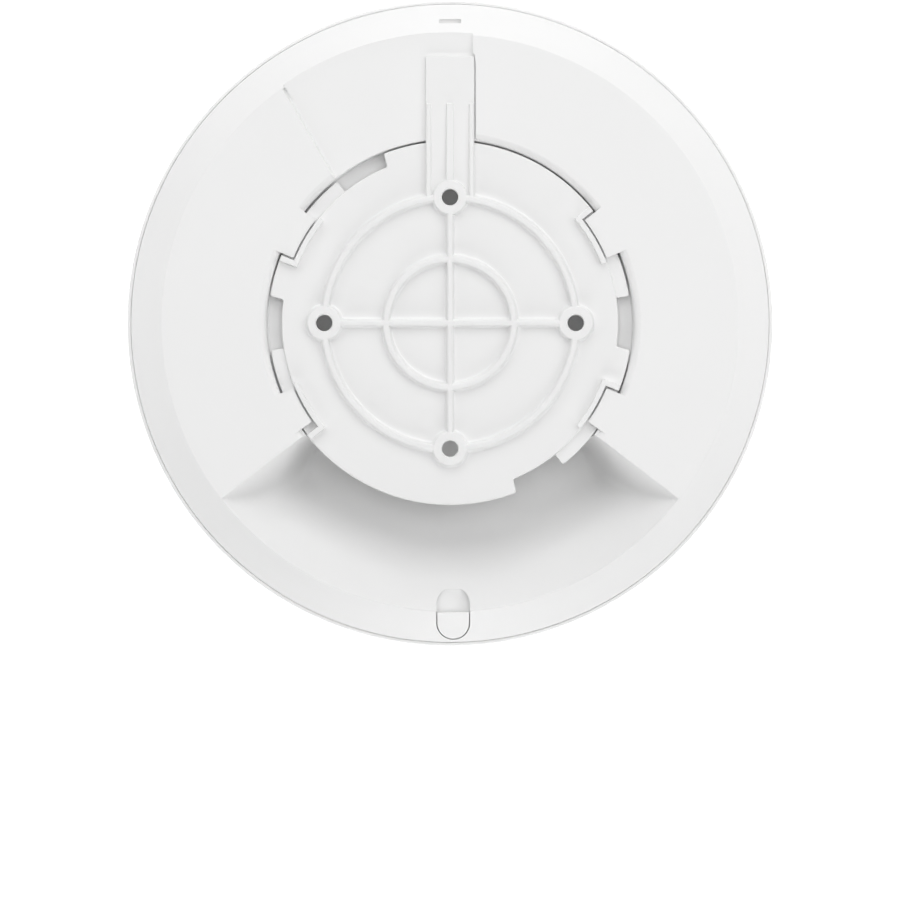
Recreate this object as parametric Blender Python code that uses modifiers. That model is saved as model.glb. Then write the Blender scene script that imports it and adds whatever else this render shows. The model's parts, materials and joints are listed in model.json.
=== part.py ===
"""Ceiling access point with a twist-on mounting bracket, as separate named parts.

Frame: the origin is the centre of the bracket's ceiling face. +Z points up into the ceiling, -Y points to
the cable bay, and +Y points along the bracket's locking arm. Sizes below are in millimetres, and MM turns
them into Blender's metres. A bearing is an angle in degrees from +Y, counter-clockwise seen from above.
"""

import math

import bmesh
import bpy
from mathutils import Matrix, Vector

MM = 0.001
GAP = 0.3                      # running and assembly clearance between neighbouring parts
ARC_STEP = 3.0                 # degrees between the points of a plan arc
TURN_STEPS = 96                # segments of a large turned part
RING_STEPS = 48                # segments of a smaller one
COVER_STEPS = 72

# Housing
HOUSING_RADIUS = 80.0
HOUSING_BOTTOM = -33.0
BACK_Z = -0.8                  # flat back of the casing, just under the ceiling
BAND_RADIUS = 71.4             # where the flat back ends and the sloping rim band starts
RIM_RADIUS = 79.0
RIM_Z = -5.6
LIP_Z = -6.0                   # upper edge of the front cover
CASING_SKIN = 1.6
COVER_SKIN = 2.0
SHOULDER_RADIUS = 48.0         # the front cover's flat face ends here
SHOULDER_Z = -9.0              # the front cover's side is upright above this height

# Well for the bracket, with four hooks
WELL_RADIUS = 45.35
WELL_Z = -5.0
HOOK_INNER_RADIUS = 41.95
HOOK_BOTTOM = -2.2
HOOK_HALF_ANGLE = 7.4
HOOK_BAY_ANGLE = 5.5           # from a hook's middle to its end, where that end is beside the bay
UNLOCK_ANGLE = 30.0

# Mounting bracket
BRACKET_RADIUS = 45.0
PLATE_TOP = -1.8
PLATE_BOTTOM = -3.2
RECESS_RADIUS = 41.66          # plate edge behind the notches and the hooks
SKIRT_INNER_RADIUS = 39.9
SKIRT_OUTER_RADIUS = 41.3
LIP_INNER_RADIUS = 40.2
LIP_OUTER_RADIUS = 41.5
LIP_START = 51.0
SKIRT_BOTTOM = -4.0
TAB_TOP = -2.5
LIP_TOP = -0.2
BAYONET_STARTS = (0.0, 60.0, 180.0, 240.0)
NOTCH_START = 21.4             # bearings of one bayonet unit, counted from its start
NOTCH_END = 38.6
STOP_START = 67.9
STOP_END = 70.0
HOOK_CENTRE = 60.0
BAY_SIDE_HOOKS = (120.0, 240.0)  # bearings of the hooks on either side of the bay
HOLE_CIRCLE_RADIUS = 31.1
HOLE_RADIUS = 2.0
BOSS_RADIUS = 4.25
INNER_RING_RADIUS = 15.8
RING_WIDTH = 1.8
CROSS_WIDTH = 1.6
RIB_FOOT = -2.2                # ribs reach this far down into the plate
RIB_STEP = 0.05                # crossing ribs differ in height by this much

# Locking arm
ARM_HALF_WIDTH = 6.0
ARM_ROOT_Y = 44.6               # the plate's edge across the arm
ARM_TIP_Y = 66.0
ARM_BOTTOM = -1.8
ARM_TOP = -1.0                  # the arm's face stands above the plate
ARM_RIB_TOP = -0.45
ARM_RIB_END_Y = 54.5
SIDE_RIB_WIDTH = 1.3
CENTRE_RIB_WIDTH = 2.0
CHANNEL_FLOOR = -2.15
CHANNEL_RAMP_RADIUS = 66.9
CHANNEL_END_RADIUS = 75.0       # the ramp ends here, above the rim band
CHANNEL_END_Z = -0.7

# Cable bay
BAY_HALF_ANGLE = 52.5
BAY_FLOOR = -18.0
BAY_FLAT_RADIUS = 48.0         # the floor rises in a curve from here
BAY_RIM_RADIUS = 71.3          # to here, just inside the rim band
BAY_SIDE_REACH = 20.0          # from a side's top edge in to the flat floor, at the rim
BAY_STEEP_REACH = 4.5          # the same beside the well, where the side is steeper
BAY_STEEP_RADIUS = 45.0
BAY_EDGE_SLOPE = 1.2           # a wall's slope at its top edge, as a share of its mean slope
BAY_HOLLOW = 6.0               # how sharp the hollow between two walls is
BAY_START_RADIUS = 20.0
BAY_MARGIN = 0.4               # the cutter goes past the bay's edge by this much
BAY_MARGIN_ANGLE = 0.5
BAY_ROWS = 20
BAY_COLUMNS = 20
BAY_WALL = 1.5
BAY_BACK_Y = -23.0

# Knockout and release slot
KNOCKOUT_X = 0.8
KNOCKOUT_HALF_WIDTH = 4.18
KNOCKOUT_INNER_Y = -65.4
KNOCKOUT_SPLIT_Y = -71.5
KNOCKOUT_OUTER_Y = -78.4
KNOCKOUT_FLOOR = -6.6
KNOCKOUT_SKIN = 1.2
SLOT_Y = 74.7
SLOT_LENGTH = 5.5
SLOT_WIDTH = 1.05

# Electronics
BOARD_TOP = -20.3
BOARD_THICKNESS = 1.2
BOARD_RADIUS = 64.0
ON_BOARD = BOARD_TOP + GAP
UNDER_BOARD = BOARD_TOP - BOARD_THICKNESS - GAP
SCREW_CIRCLE_RADIUS = 56.0
SCREW_BEARINGS = (70.0, 115.0, 245.0, 290.0)
RING_INNER_RADIUS = 21.0
RING_OUTER_RADIUS = 24.0
JACK_WIDTH = 16.0
JACK_LENGTH = 21.0
JACK_TOP = -6.9
RESET_X = 12.0
RESET_Z = -12.5
RADIO_X = 34.0
RADIO_Y = 16.0
LED_RADIUS = (RING_INNER_RADIUS + RING_OUTER_RADIUS) / 2
SHEET = 0.4                    # shielding and antenna metal

WHITE = (0.86, 0.86, 0.86)
PARTS = "ceiling_access_point"
CUTTERS = "cutters"


# ---------------------------------------------------------------- scene helpers

def clear_scene():
    for obj in list(bpy.data.objects):
        bpy.data.objects.remove(obj, do_unlink=True)


def make_collection(name):
    collection = bpy.data.collections.new(name)
    bpy.context.scene.collection.children.link(collection)
    return collection


def material(name, color, roughness=0.5, metallic=0.0):
    if name in bpy.data.materials:
        return bpy.data.materials[name]
    made = bpy.data.materials.new(name)
    made.use_nodes = True
    shader = made.node_tree.nodes["Principled BSDF"]
    shader.inputs["Base Color"].default_value = (*color, 1.0)
    shader.inputs["Roughness"].default_value = roughness
    shader.inputs["Metallic"].default_value = metallic
    return made


def white_plastic():
    return material("white_plastic", WHITE, 0.45)


def metal():
    return material("tinned_steel", (0.70, 0.70, 0.68), 0.35, 1.0)


def black_plastic():
    return material("black_plastic", (0.03, 0.03, 0.03), 0.5)


def add_object(name, mesh):
    obj = bpy.data.objects.new(name, mesh)
    bpy.data.collections[CUTTERS].objects.link(obj)
    obj.hide_render = True
    obj.display_type = "WIRE"
    return obj


def finish(obj, name, look, parent=None):
    """Turns a working object into a part of the assembly."""
    obj.name = name
    bpy.data.collections[CUTTERS].objects.unlink(obj)
    bpy.data.collections[PARTS].objects.link(obj)
    obj.hide_render = False
    obj.display_type = "TEXTURED"
    obj.data.materials.clear()
    obj.data.materials.append(look)
    if parent:
        bpy.context.view_layer.update()
        obj.parent = parent
        obj.matrix_parent_inverse = parent.matrix_world.inverted()
    return obj


def boolean(target, other, operation):
    modifier = target.modifiers.new(other.name, "BOOLEAN")
    modifier.operation = operation
    modifier.solver = "EXACT"
    modifier.object = other
    return target


def cut(target, *cutters):
    for cutter in cutters:
        boolean(target, cutter, "DIFFERENCE")
    return target


def join(target, *others):
    for other in others:
        boolean(target, other, "UNION")
    return target


def common(target, other):
    return boolean(target, other, "INTERSECT")


# ---------------------------------------------------------------- shape helpers

def plan_point(radius, bearing):
    angle = math.radians(bearing)
    return (-radius * math.sin(angle), radius * math.cos(angle))


def plan_arc(radius, start, end):
    steps = max(1, math.ceil(abs(end - start) / ARC_STEP))
    return [plan_point(radius, start + (end - start) * i / steps) for i in range(steps + 1)]


def rectangle(x_low, x_high, y_low, y_high):
    return [(x_low, y_low), (x_high, y_low), (x_high, y_high), (x_low, y_high)]


def sector(inner, outer, start, end):
    return plan_arc(outer, start, end) + plan_arc(inner, end, start)


def obround(x, y_low, y_high, half_width):
    """A slot along Y with round ends."""
    low = [math.pi + math.pi * i / 12 for i in range(13)]
    high = [math.pi * i / 12 for i in range(13)]
    points = [(x + half_width * math.cos(t), y_low + half_width * (1 + math.sin(t))) for t in low]
    return points + [(x + half_width * math.cos(t), y_high - half_width * (1 - math.sin(t))) for t in high]


def prism(name, low, high, *outlines):
    """A flat outline, with any holes, extruded from one height to another."""
    curve = bpy.data.curves.new(name, "CURVE")
    curve.dimensions = "2D"
    curve.fill_mode = "BOTH"
    curve.extrude = (high - low) / 2 * MM
    for outline in outlines:
        spline = curve.splines.new("POLY")
        spline.points.add(len(outline) - 1)
        for point, (x, y) in zip(spline.points, outline):
            point.co = (x * MM, y * MM, 0.0, 1.0)
        spline.use_cyclic_u = True
    drawn = bpy.data.objects.new(name, curve)
    bpy.context.scene.collection.objects.link(drawn)
    drawn.location.z = (low + high) / 2 * MM
    return curve_to_mesh(drawn, name)


def curve_to_mesh(drawn, name):
    """Replaces a curve with a mesh object whose caps are welded to its sides."""
    bpy.context.view_layer.update()
    graph = bpy.context.evaluated_depsgraph_get()
    mesh = bpy.data.meshes.new_from_object(drawn.evaluated_get(graph))
    weld = bmesh.new()
    weld.from_mesh(mesh)
    bmesh.ops.remove_doubles(weld, verts=weld.verts, dist=0.001 * MM)
    bmesh.ops.recalc_face_normals(weld, faces=weld.faces)
    weld.to_mesh(mesh)
    weld.free()
    obj = add_object(name, mesh)
    obj.matrix_world = drawn.matrix_world
    bpy.data.objects.remove(drawn, do_unlink=True)
    return obj


def turned(name, profile, steps=TURN_STEPS, at=(0.0, 0.0)):
    """A closed profile of (radius, z) points, running down its outer side, turned about Z."""
    mesh = bpy.data.meshes.new(name)
    count = len(profile)
    edges = [(i, (i + 1) % count) for i in range(count)]
    mesh.from_pydata([(r * MM, 0.0, z * MM) for r, z in profile], edges, [])
    obj = add_object(name, mesh)
    obj.location = (at[0] * MM, at[1] * MM, 0.0)
    screw = obj.modifiers.new("turn", "SCREW")
    screw.steps = steps
    screw.render_steps = steps
    screw.use_merge_vertices = True
    screw.merge_threshold = 0.001 * MM
    return obj


def ring_profile(inner, outer, low, high):
    return [(inner, high), (outer, high), (outer, low), (inner, low)]


def box(name, x_range, y_range, z_range):
    made = bmesh.new()
    bmesh.ops.create_cube(made, size=1.0)
    ranges = (x_range, y_range, z_range)
    scale = [(high - low) * MM for low, high in ranges]
    middle = [(high + low) / 2 * MM for low, high in ranges]
    bmesh.ops.scale(made, vec=scale, verts=made.verts)
    return place_bmesh(name, made, middle)


def block(name, centre, size, low, height):
    """A box given by its plan centre, its plan size, its lowest height and how tall it is."""
    x_range = (centre[0] - size[0] / 2, centre[0] + size[0] / 2)
    y_range = (centre[1] - size[1] / 2, centre[1] + size[1] / 2)
    return box(name, x_range, y_range, (low, low + height))


def cylinder(name, radius, low, high, at=(0.0, 0.0), segments=24, axis="Z"):
    """A solid cylinder. For axis Y, low and high are y values, and at is (x, z)."""
    made = bmesh.new()
    bmesh.ops.create_cone(made, cap_ends=True, segments=segments, radius1=radius * MM,
                          radius2=radius * MM, depth=(high - low) * MM)
    middle = (at[0] * MM, at[1] * MM, (low + high) / 2 * MM)
    if axis == "Y":
        bmesh.ops.rotate(made, matrix=Matrix.Rotation(math.pi / 2, 3, "X"), verts=made.verts)
        middle = (at[0] * MM, (low + high) / 2 * MM, at[1] * MM)
    return place_bmesh(name, made, middle)


def place_bmesh(name, made, middle):
    mesh = bpy.data.meshes.new(name)
    made.to_mesh(mesh)
    made.free()
    obj = add_object(name, mesh)
    obj.location = middle
    return obj


def joint_empty(name, at, parent=None):
    empty = bpy.data.objects.new(name, None)
    empty.location = Vector(at) * MM
    bpy.data.collections[PARTS].objects.link(empty)
    if parent:
        bpy.context.view_layer.update()
        empty.parent = parent
        empty.matrix_parent_inverse = parent.matrix_world.inverted()
    return empty


# ---------------------------------------------------------------- mounting bracket

def bracket_outline():
    """The plate's edge: notches for the casing's hooks, a recess where each hook locks, a flat at the arm."""
    flat = math.degrees(math.asin(ARM_HALF_WIDTH / BRACKET_RADIUS))
    bearing = flat
    outline = []
    for start in BAYONET_STARTS:
        outline += plan_arc(BRACKET_RADIUS, bearing, start + NOTCH_START)
        outline += plan_arc(RECESS_RADIUS, start + NOTCH_START, start + STOP_START)
        bearing = start + STOP_START
    return outline + plan_arc(BRACKET_RADIUS, bearing, 360.0 - flat)


def hole_centres():
    return [plan_point(HOLE_CIRCLE_RADIUS, 90.0 * i) for i in range(4)]


def bracket_ribs():
    """Raised ribs that stand against the ceiling: two rings, a cross and four screw bosses."""
    ribs = [cylinder("boss", BOSS_RADIUS, RIB_FOOT, -RIB_STEP, at) for at in hole_centres()]
    for radius in (HOLE_CIRCLE_RADIUS, INNER_RING_RADIUS):
        half = RING_WIDTH / 2
        profile = ring_profile(radius - half, radius + half, RIB_FOOT, -2 * RIB_STEP)
        ribs.append(turned("rib_ring", profile, RING_STEPS))
    reach = HOLE_CIRCLE_RADIUS
    half = CROSS_WIDTH / 2
    ribs.append(box("rib_x", (-reach, reach), (-half, half), (RIB_FOOT, 0.0)))
    ribs.append(box("rib_y", (-half, half), (-reach, reach), (RIB_FOOT, -3 * RIB_STEP)))
    return ribs


def arm_ribs(y_range, top):
    """The two side ribs and the middle rib that stiffen the arm."""
    edge = ARM_HALF_WIDTH - 0.1
    half = CENTRE_RIB_WIDTH / 2
    heights = (ARM_TOP - 0.3, top)
    middle_start = max(y_range[0], HOLE_CIRCLE_RADIUS + BOSS_RADIUS - 0.5)
    return [
        box("side_rib_left", (-edge, -edge + SIDE_RIB_WIDTH), y_range, heights),
        box("side_rib_right", (edge - SIDE_RIB_WIDTH, edge), y_range, heights),
        box("middle_rib", (-half, half), (middle_start, y_range[1]), heights),
    ]


def bayonet_unit(start):
    """Under each hook a thin tab, and around it an L-shaped lip whose foot stops the hook."""
    tab = sector(SKIRT_INNER_RADIUS + 0.7, BRACKET_RADIUS - 0.2, start + NOTCH_END, start + STOP_END - 0.4)
    foot = start + STOP_START + 0.2
    end = start + STOP_END
    lip = plan_arc(LIP_OUTER_RADIUS, start + LIP_START, foot) + plan_arc(BRACKET_RADIUS - 0.1, foot, end)
    lip += plan_arc(LIP_INNER_RADIUS, end, start + LIP_START)
    return [prism("tab", SKIRT_BOTTOM, TAB_TOP, tab), prism("hook_lip", RIB_FOOT, LIP_TOP, lip)]


def build_bracket(parent):
    plate = prism("mounting_bracket", PLATE_BOTTOM, PLATE_TOP, bracket_outline())
    skirt = ring_profile(SKIRT_INNER_RADIUS, SKIRT_OUTER_RADIUS, SKIRT_BOTTOM + 0.1, RIB_FOOT)
    join(plate, turned("skirt", skirt))
    for start in BAYONET_STARTS:
        join(plate, *bayonet_unit(start))
    join(plate, *bracket_ribs())
    edge = ARM_HALF_WIDTH - 0.07
    start = HOLE_CIRCLE_RADIUS - 0.4
    join(plate, box("arm_root", (-edge, edge), (start, ARM_ROOT_Y - 0.1), (PLATE_BOTTOM + 0.4, ARM_TOP)))
    join(plate, *arm_ribs((start + 0.1, ARM_ROOT_Y - 0.2), -4 * RIB_STEP))
    for at in hole_centres():
        cut(plate, cylinder("screw_hole", HOLE_RADIUS, PLATE_BOTTOM - 1.0, 1.0, at))
    return finish(plate, "mounting_bracket", white_plastic(), parent)


def build_arm(parent):
    """A springy arm whose tip drops beside the casing's detent. It hinges where its root bends."""
    edge = ARM_HALF_WIDTH
    root = ARM_ROOT_Y + GAP
    arm = prism("locking_arm", ARM_BOTTOM, ARM_TOP, rectangle(-edge, edge, root, ARM_TIP_Y))
    join(arm, *arm_ribs((root + 0.1, ARM_RIB_END_Y), ARM_RIB_TOP))
    return finish(arm, "locking_arm", white_plastic(), parent)


# ---------------------------------------------------------------- rear casing

def band_height(radius):
    """Height of the sloping rim band."""
    share = (radius - BAND_RADIUS) / (RIM_RADIUS - BAND_RADIUS)
    return BACK_Z + share * (RIM_Z - BACK_Z)


def casing_profile():
    skin = CASING_SKIN
    return [
        (0.0, WELL_Z),
        (WELL_RADIUS, WELL_Z),
        (WELL_RADIUS, BACK_Z),
        (BAND_RADIUS, BACK_Z),
        (RIM_RADIUS, RIM_Z),
        (RIM_RADIUS, RIM_Z - 2.4),
        (RIM_RADIUS - skin, RIM_Z - 2.4),
        (RIM_RADIUS - skin, RIM_Z - 1.0),
        (BAND_RADIUS - 0.5, BACK_Z - skin),
        (WELL_RADIUS + skin, BACK_Z - skin),
        (WELL_RADIUS + skin, WELL_Z - skin),
        (0.0, WELL_Z - skin),
    ]


def eased(share):
    """0 to 1 down a wall of the bay: a firm slope at its top edge, then a soft run out to the floor."""
    t = max(0.0, min(1.0, share))
    return BAY_EDGE_SLOPE * (t - 2 * t ** 2 + t ** 3) + 3 * t ** 2 - 2 * t ** 3


def bay_depth(radius, turn):
    """How far the bay's surface lies below the back. Turn is in degrees from the bay's middle."""
    depth = BACK_Z - BAY_FLOOR
    share = (radius - BAY_STEEP_RADIUS) / (BAY_RIM_RADIUS - BAY_STEEP_RADIUS)
    reach = BAY_STEEP_REACH + (BAY_SIDE_REACH - BAY_STEEP_REACH) * max(0.0, min(1.0, share))
    outer = (BAY_RIM_RADIUS - radius) / (BAY_RIM_RADIUS - BAY_FLAT_RADIUS)
    side = radius * math.sin(math.radians(BAY_HALF_ANGLE - abs(turn))) / reach
    if min(outer, side) <= 0.0:
        return depth * BAY_EDGE_SLOPE * min(outer, side)
    walls = (depth * eased(outer), depth * eased(side))
    return (sum(wall ** -BAY_HOLLOW for wall in walls) / 2) ** (-1.0 / BAY_HOLLOW)


def bay_body(name, offset, top):
    """The bay's space as a solid, pushed out by offset: a sector with curved walls, squared at the jack."""
    edge = BAY_HALF_ANGLE + BAY_MARGIN_ANGLE
    shares = [math.sin(math.pi / 2 * i / BAY_COLUMNS) for i in range(-BAY_COLUMNS, BAY_COLUMNS + 1)]
    turns = [-edge] + [BAY_HALF_ANGLE * share for share in shares] + [edge]
    step = (BAY_RIM_RADIUS - BAY_START_RADIUS) / BAY_ROWS
    radii = [BAY_START_RADIUS + step * i for i in range(BAY_ROWS + 1)] + [BAY_RIM_RADIUS + BAY_MARGIN]
    grown = 1.0 + offset / BAY_FLAT_RADIUS
    made = bmesh.new()
    lower, upper = [], []
    for radius in radii:
        plan = [plan_point(radius * grown, 180.0 + turn * grown) for turn in turns]
        floor = [BACK_Z - offset - bay_depth(radius, turn) for turn in turns]
        lower.append([made.verts.new((x * MM, y * MM, z * MM)) for (x, y), z in zip(plan, floor)])
        upper.append([made.verts.new((x * MM, y * MM, top * MM)) for x, y in plan])
    rows, columns = len(radii) - 1, len(turns) - 1
    for sheet in (lower, upper):
        for i in range(rows):
            for j in range(columns):
                made.faces.new((sheet[i][j], sheet[i][j + 1], sheet[i + 1][j + 1], sheet[i + 1][j]))
    for i in range(rows):
        for j in (0, columns):
            made.faces.new((lower[i][j], lower[i + 1][j], upper[i + 1][j], upper[i][j]))
    for j in range(columns):
        for i in (0, rows):
            made.faces.new((lower[i][j], lower[i][j + 1], upper[i][j + 1], upper[i][j]))
    bmesh.ops.recalc_face_normals(made, faces=made.faces)
    space = place_bmesh(name, made, (0.0, 0.0, 0.0))
    reach = HOUSING_RADIUS * 1.5
    front = rectangle(-reach, reach, -reach, BAY_BACK_Y + offset)
    return common(space, prism(name + "_front", BAY_FLOOR - 9.0, top + 9.0, front))


def knockout_groove(name, offset, low, high):
    outline = obround(KNOCKOUT_X, KNOCKOUT_OUTER_Y - offset, KNOCKOUT_INNER_Y + offset,
                      KNOCKOUT_HALF_WIDTH + offset)
    return prism(name, low, high, outline)


def below_back(name, drop):
    """Everything that lies deeper than the casing's back surface by at least drop."""
    rim = RIM_RADIUS - 0.4
    profile = [(0.0, WELL_Z - drop), (WELL_RADIUS + drop, WELL_Z - drop), (WELL_RADIUS + drop, BACK_Z - drop),
               (BAND_RADIUS - drop, BACK_Z - drop), (rim, band_height(rim) - drop), (rim, BAY_FLOOR - 6.0),
               (0.0, BAY_FLOOR - 6.0)]
    return turned(name, profile)


def under_band(name, inner, outer, low, drop=0.0):
    """A ring whose top is the rim band lowered by drop."""
    profile = [(inner, band_height(inner) - drop), (outer, band_height(outer) - drop), (outer, low),
               (inner, low)]
    return turned(name, profile)


def channel_cutter():
    """The recess that the arm sweeps through as the housing turns off the bracket."""
    depth_profile = [
        (WELL_RADIUS - 2.0, 2.0),
        (CHANNEL_END_RADIUS, 2.0),
        (CHANNEL_END_RADIUS, CHANNEL_END_Z),
        (CHANNEL_RAMP_RADIUS, CHANNEL_FLOOR),
        (WELL_RADIUS - 2.0, CHANNEL_FLOOR),
    ]
    side = ARM_HALF_WIDTH + 0.4
    angle = math.radians(UNLOCK_ANGLE)
    across = Vector((-math.cos(angle), -math.sin(angle))) * side
    along = Vector((-math.sin(angle), math.cos(angle)))
    plan = [(side, 30.0), (side, 90.0)]
    plan += [tuple(across + along * 90.0), tuple(across + along * 30.0)]
    return common(turned("channel", depth_profile), prism("channel_plan", -4.0, 4.0, plan))


def channel_floor():
    """Thicker skin under the channel, so that the recess doesn't break through."""
    low = CHANNEL_FLOOR - CASING_SKIN
    ring = turned("channel_skin", ring_profile(WELL_RADIUS + 0.5, BAND_RADIUS + 0.3, low, BACK_Z - 0.5))
    plan = sector(WELL_RADIUS - 5.0, BAND_RADIUS + 5.0, -10.0, UNLOCK_ANGLE + 10.0)
    return common(ring, prism("channel_skin_plan", -8.0, 2.0, plan))


def casing_hooks():
    """Four hooks that overhang the well. The two beside the bay are shorter on that side."""
    hooks = []
    for start in BAYONET_STARTS:
        middle = start + HOOK_CENTRE
        first = middle - (HOOK_BAY_ANGLE if middle == BAY_SIDE_HOOKS[1] else HOOK_HALF_ANGLE)
        last = middle + (HOOK_BAY_ANGLE if middle == BAY_SIDE_HOOKS[0] else HOOK_HALF_ANGLE)
        plan = sector(HOOK_INNER_RADIUS, WELL_RADIUS + 0.5, first, last)
        hooks.append(prism("hook", HOOK_BOTTOM, BACK_Z - 0.05, plan))
    return hooks


def screw_posts():
    posts = []
    for bearing in SCREW_BEARINGS:
        at = plan_point(SCREW_CIRCLE_RADIUS, bearing)
        posts.append(cylinder("screw_post", 3.2, BOARD_TOP + GAP, BACK_Z - 0.8, at, 20))
    return posts


def build_casing(parent):
    casing = turned("rear_casing", casing_profile())
    bay_shell = common(bay_body("bay_shell", BAY_WALL, 3.0), below_back("bay_limit", 0.1))
    skin = KNOCKOUT_SKIN
    groove_shell = common(knockout_groove("groove_shell", skin, KNOCKOUT_FLOOR - 2 * skin, BACK_Z - 0.3),
                          under_band("groove_limit", 55.0, RIM_RADIUS - 0.4, KNOCKOUT_FLOOR - skin, 0.1))
    join(casing, channel_floor(), groove_shell, bay_shell)
    join(casing, *screw_posts())
    cut(casing, bay_body("bay_space", 0.0, 3.0))
    cut(casing, channel_cutter())
    cut(casing, knockout_groove("groove_space", 0.0, KNOCKOUT_FLOOR, 4.0))
    half = JACK_WIDTH / 2 + GAP
    window_heights = (ON_BOARD - 2.0, JACK_TOP + 2 * GAP)
    cut(casing, box("jack_window", (-half, half), (BAY_BACK_Y - 0.5, 2.0), window_heights))
    cut(casing, cylinder("button_hole", 1.6, BAY_BACK_Y - 2.0, 0.0, (RESET_X, RESET_Z), 20, "Y"))
    slot = rectangle(-SLOT_LENGTH / 2, SLOT_LENGTH / 2, SLOT_Y - SLOT_WIDTH / 2, SLOT_Y + SLOT_WIDTH / 2)
    cut(casing, prism("release_slot", -9.0, 2.0, slot))
    for bearing in SCREW_BEARINGS:
        at = plan_point(SCREW_CIRCLE_RADIUS, bearing)
        cut(casing, cylinder("screw_pilot", 1.1, BOARD_TOP - 1.0, BOARD_TOP + 9.0, at, 16))
    join(casing, *casing_hooks())
    return finish(casing, "rear_casing", white_plastic(), parent)


def build_knockout(parent):
    """The break-out tab that closes the bay's side exit."""
    inset = KNOCKOUT_HALF_WIDTH - GAP
    outline = obround(KNOCKOUT_X, KNOCKOUT_OUTER_Y + GAP, KNOCKOUT_INNER_Y, inset)
    tab = prism("cable_knockout", KNOCKOUT_FLOOR + GAP, 2.0, outline)
    common(tab, under_band("knockout_top", 60.0, RIM_RADIUS, KNOCKOUT_FLOOR - 2.0))
    half = KNOCKOUT_HALF_WIDTH + 2.0
    cut(tab, box("knockout_split", (KNOCKOUT_X - half, KNOCKOUT_X + half),
                 (KNOCKOUT_SPLIT_Y, KNOCKOUT_INNER_Y + 4.0), (-12.0, 4.0)))
    return finish(tab, "cable_knockout", white_plastic(), parent)


# ---------------------------------------------------------------- front cover

def cover_curve(offset):
    """Quarter ellipse from the upright side to the flat face, as (radius, z)."""
    width = HOUSING_RADIUS - SHOULDER_RADIUS - offset
    depth = SHOULDER_Z - HOUSING_BOTTOM - offset
    turns = [math.pi / 2 * i / 9 for i in range(10)]
    return [(SHOULDER_RADIUS + width * math.cos(t), SHOULDER_Z - depth * math.sin(t)) for t in turns]


def build_cover(parent):
    inner_side = HOUSING_RADIUS - COVER_SKIN
    lip_inner = RIM_RADIUS + GAP
    ledge = RIM_Z - 2.4 - GAP
    hole = RING_OUTER_RADIUS + GAP
    profile = [(lip_inner, LIP_Z), (HOUSING_RADIUS, LIP_Z)] + cover_curve(0.0)
    profile += [(hole, HOUSING_BOTTOM), (hole, HOUSING_BOTTOM + COVER_SKIN)]
    profile += cover_curve(COVER_SKIN)[::-1]
    profile += [(inner_side, ledge), (lip_inner, ledge)]
    return finish(turned("front_cover", profile, COVER_STEPS), "front_cover", white_plastic(), parent)


def build_center_cap(parent):
    edge = RING_INNER_RADIUS - GAP
    low = HOUSING_BOTTOM
    profile = [(0.0, low + 2.0), (edge - 2.0, low + 2.0), (edge - 2.0, low + 4.5), (edge, low + 4.5)]
    profile += [(edge, low), (0.0, low)]
    return finish(turned("center_cap", profile, RING_STEPS), "center_cap", white_plastic(), parent)


def build_light_ring(parent):
    profile = ring_profile(RING_INNER_RADIUS, RING_OUTER_RADIUS, HOUSING_BOTTOM, HOUSING_BOTTOM + 9.0)
    look = material("light_guide", (0.80, 0.84, 0.90), 0.3)
    return finish(turned("light_ring", profile, RING_STEPS), "light_ring", look, parent)


def build_baffles(parent):
    """Two foam sleeves that keep the light in its ring."""
    foam = material("black_foam", (0.02, 0.02, 0.02), 0.9)
    low = HOUSING_BOTTOM + 4.5 + GAP
    high = UNDER_BOARD - 1.2
    outer = RING_OUTER_RADIUS + GAP
    inner = RING_INNER_RADIUS - GAP
    finish(turned("light_baffle_outer", ring_profile(outer, outer + 2.0, low, high), RING_STEPS),
           "light_baffle_outer", foam, parent)
    finish(turned("light_baffle_inner", ring_profile(inner - 2.0, inner, low, high), RING_STEPS),
           "light_baffle_inner", foam, parent)


# ---------------------------------------------------------------- board and what is on it

def build_board(parent):
    bottom = BOARD_TOP - BOARD_THICKNESS
    board = cylinder("main_board", BOARD_RADIUS, bottom, BOARD_TOP, (0.0, 0.0), RING_STEPS)
    for bearing in SCREW_BEARINGS:
        at = plan_point(SCREW_CIRCLE_RADIUS, bearing)
        cut(board, cylinder("board_hole", 1.4, BOARD_TOP - 3.0, BOARD_TOP + 1.0, at, 16))
    green = material("board", (0.02, 0.16, 0.07), 0.4)
    return finish(board, "main_board", green, parent)


def build_screws(parent):
    profile = [(0.0, BOARD_TOP + 7.0), (0.8, BOARD_TOP + 7.0), (0.8, UNDER_BOARD), (2.3, UNDER_BOARD),
               (2.3, UNDER_BOARD - 1.0), (1.6, UNDER_BOARD - 1.6), (0.0, UNDER_BOARD - 1.6)]
    for i, bearing in enumerate(SCREW_BEARINGS, 1):
        screw = turned("board_screw", profile, 16, plan_point(SCREW_CIRCLE_RADIUS, bearing))
        finish(screw, "board_screw_%d" % i, metal(), parent)


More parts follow.
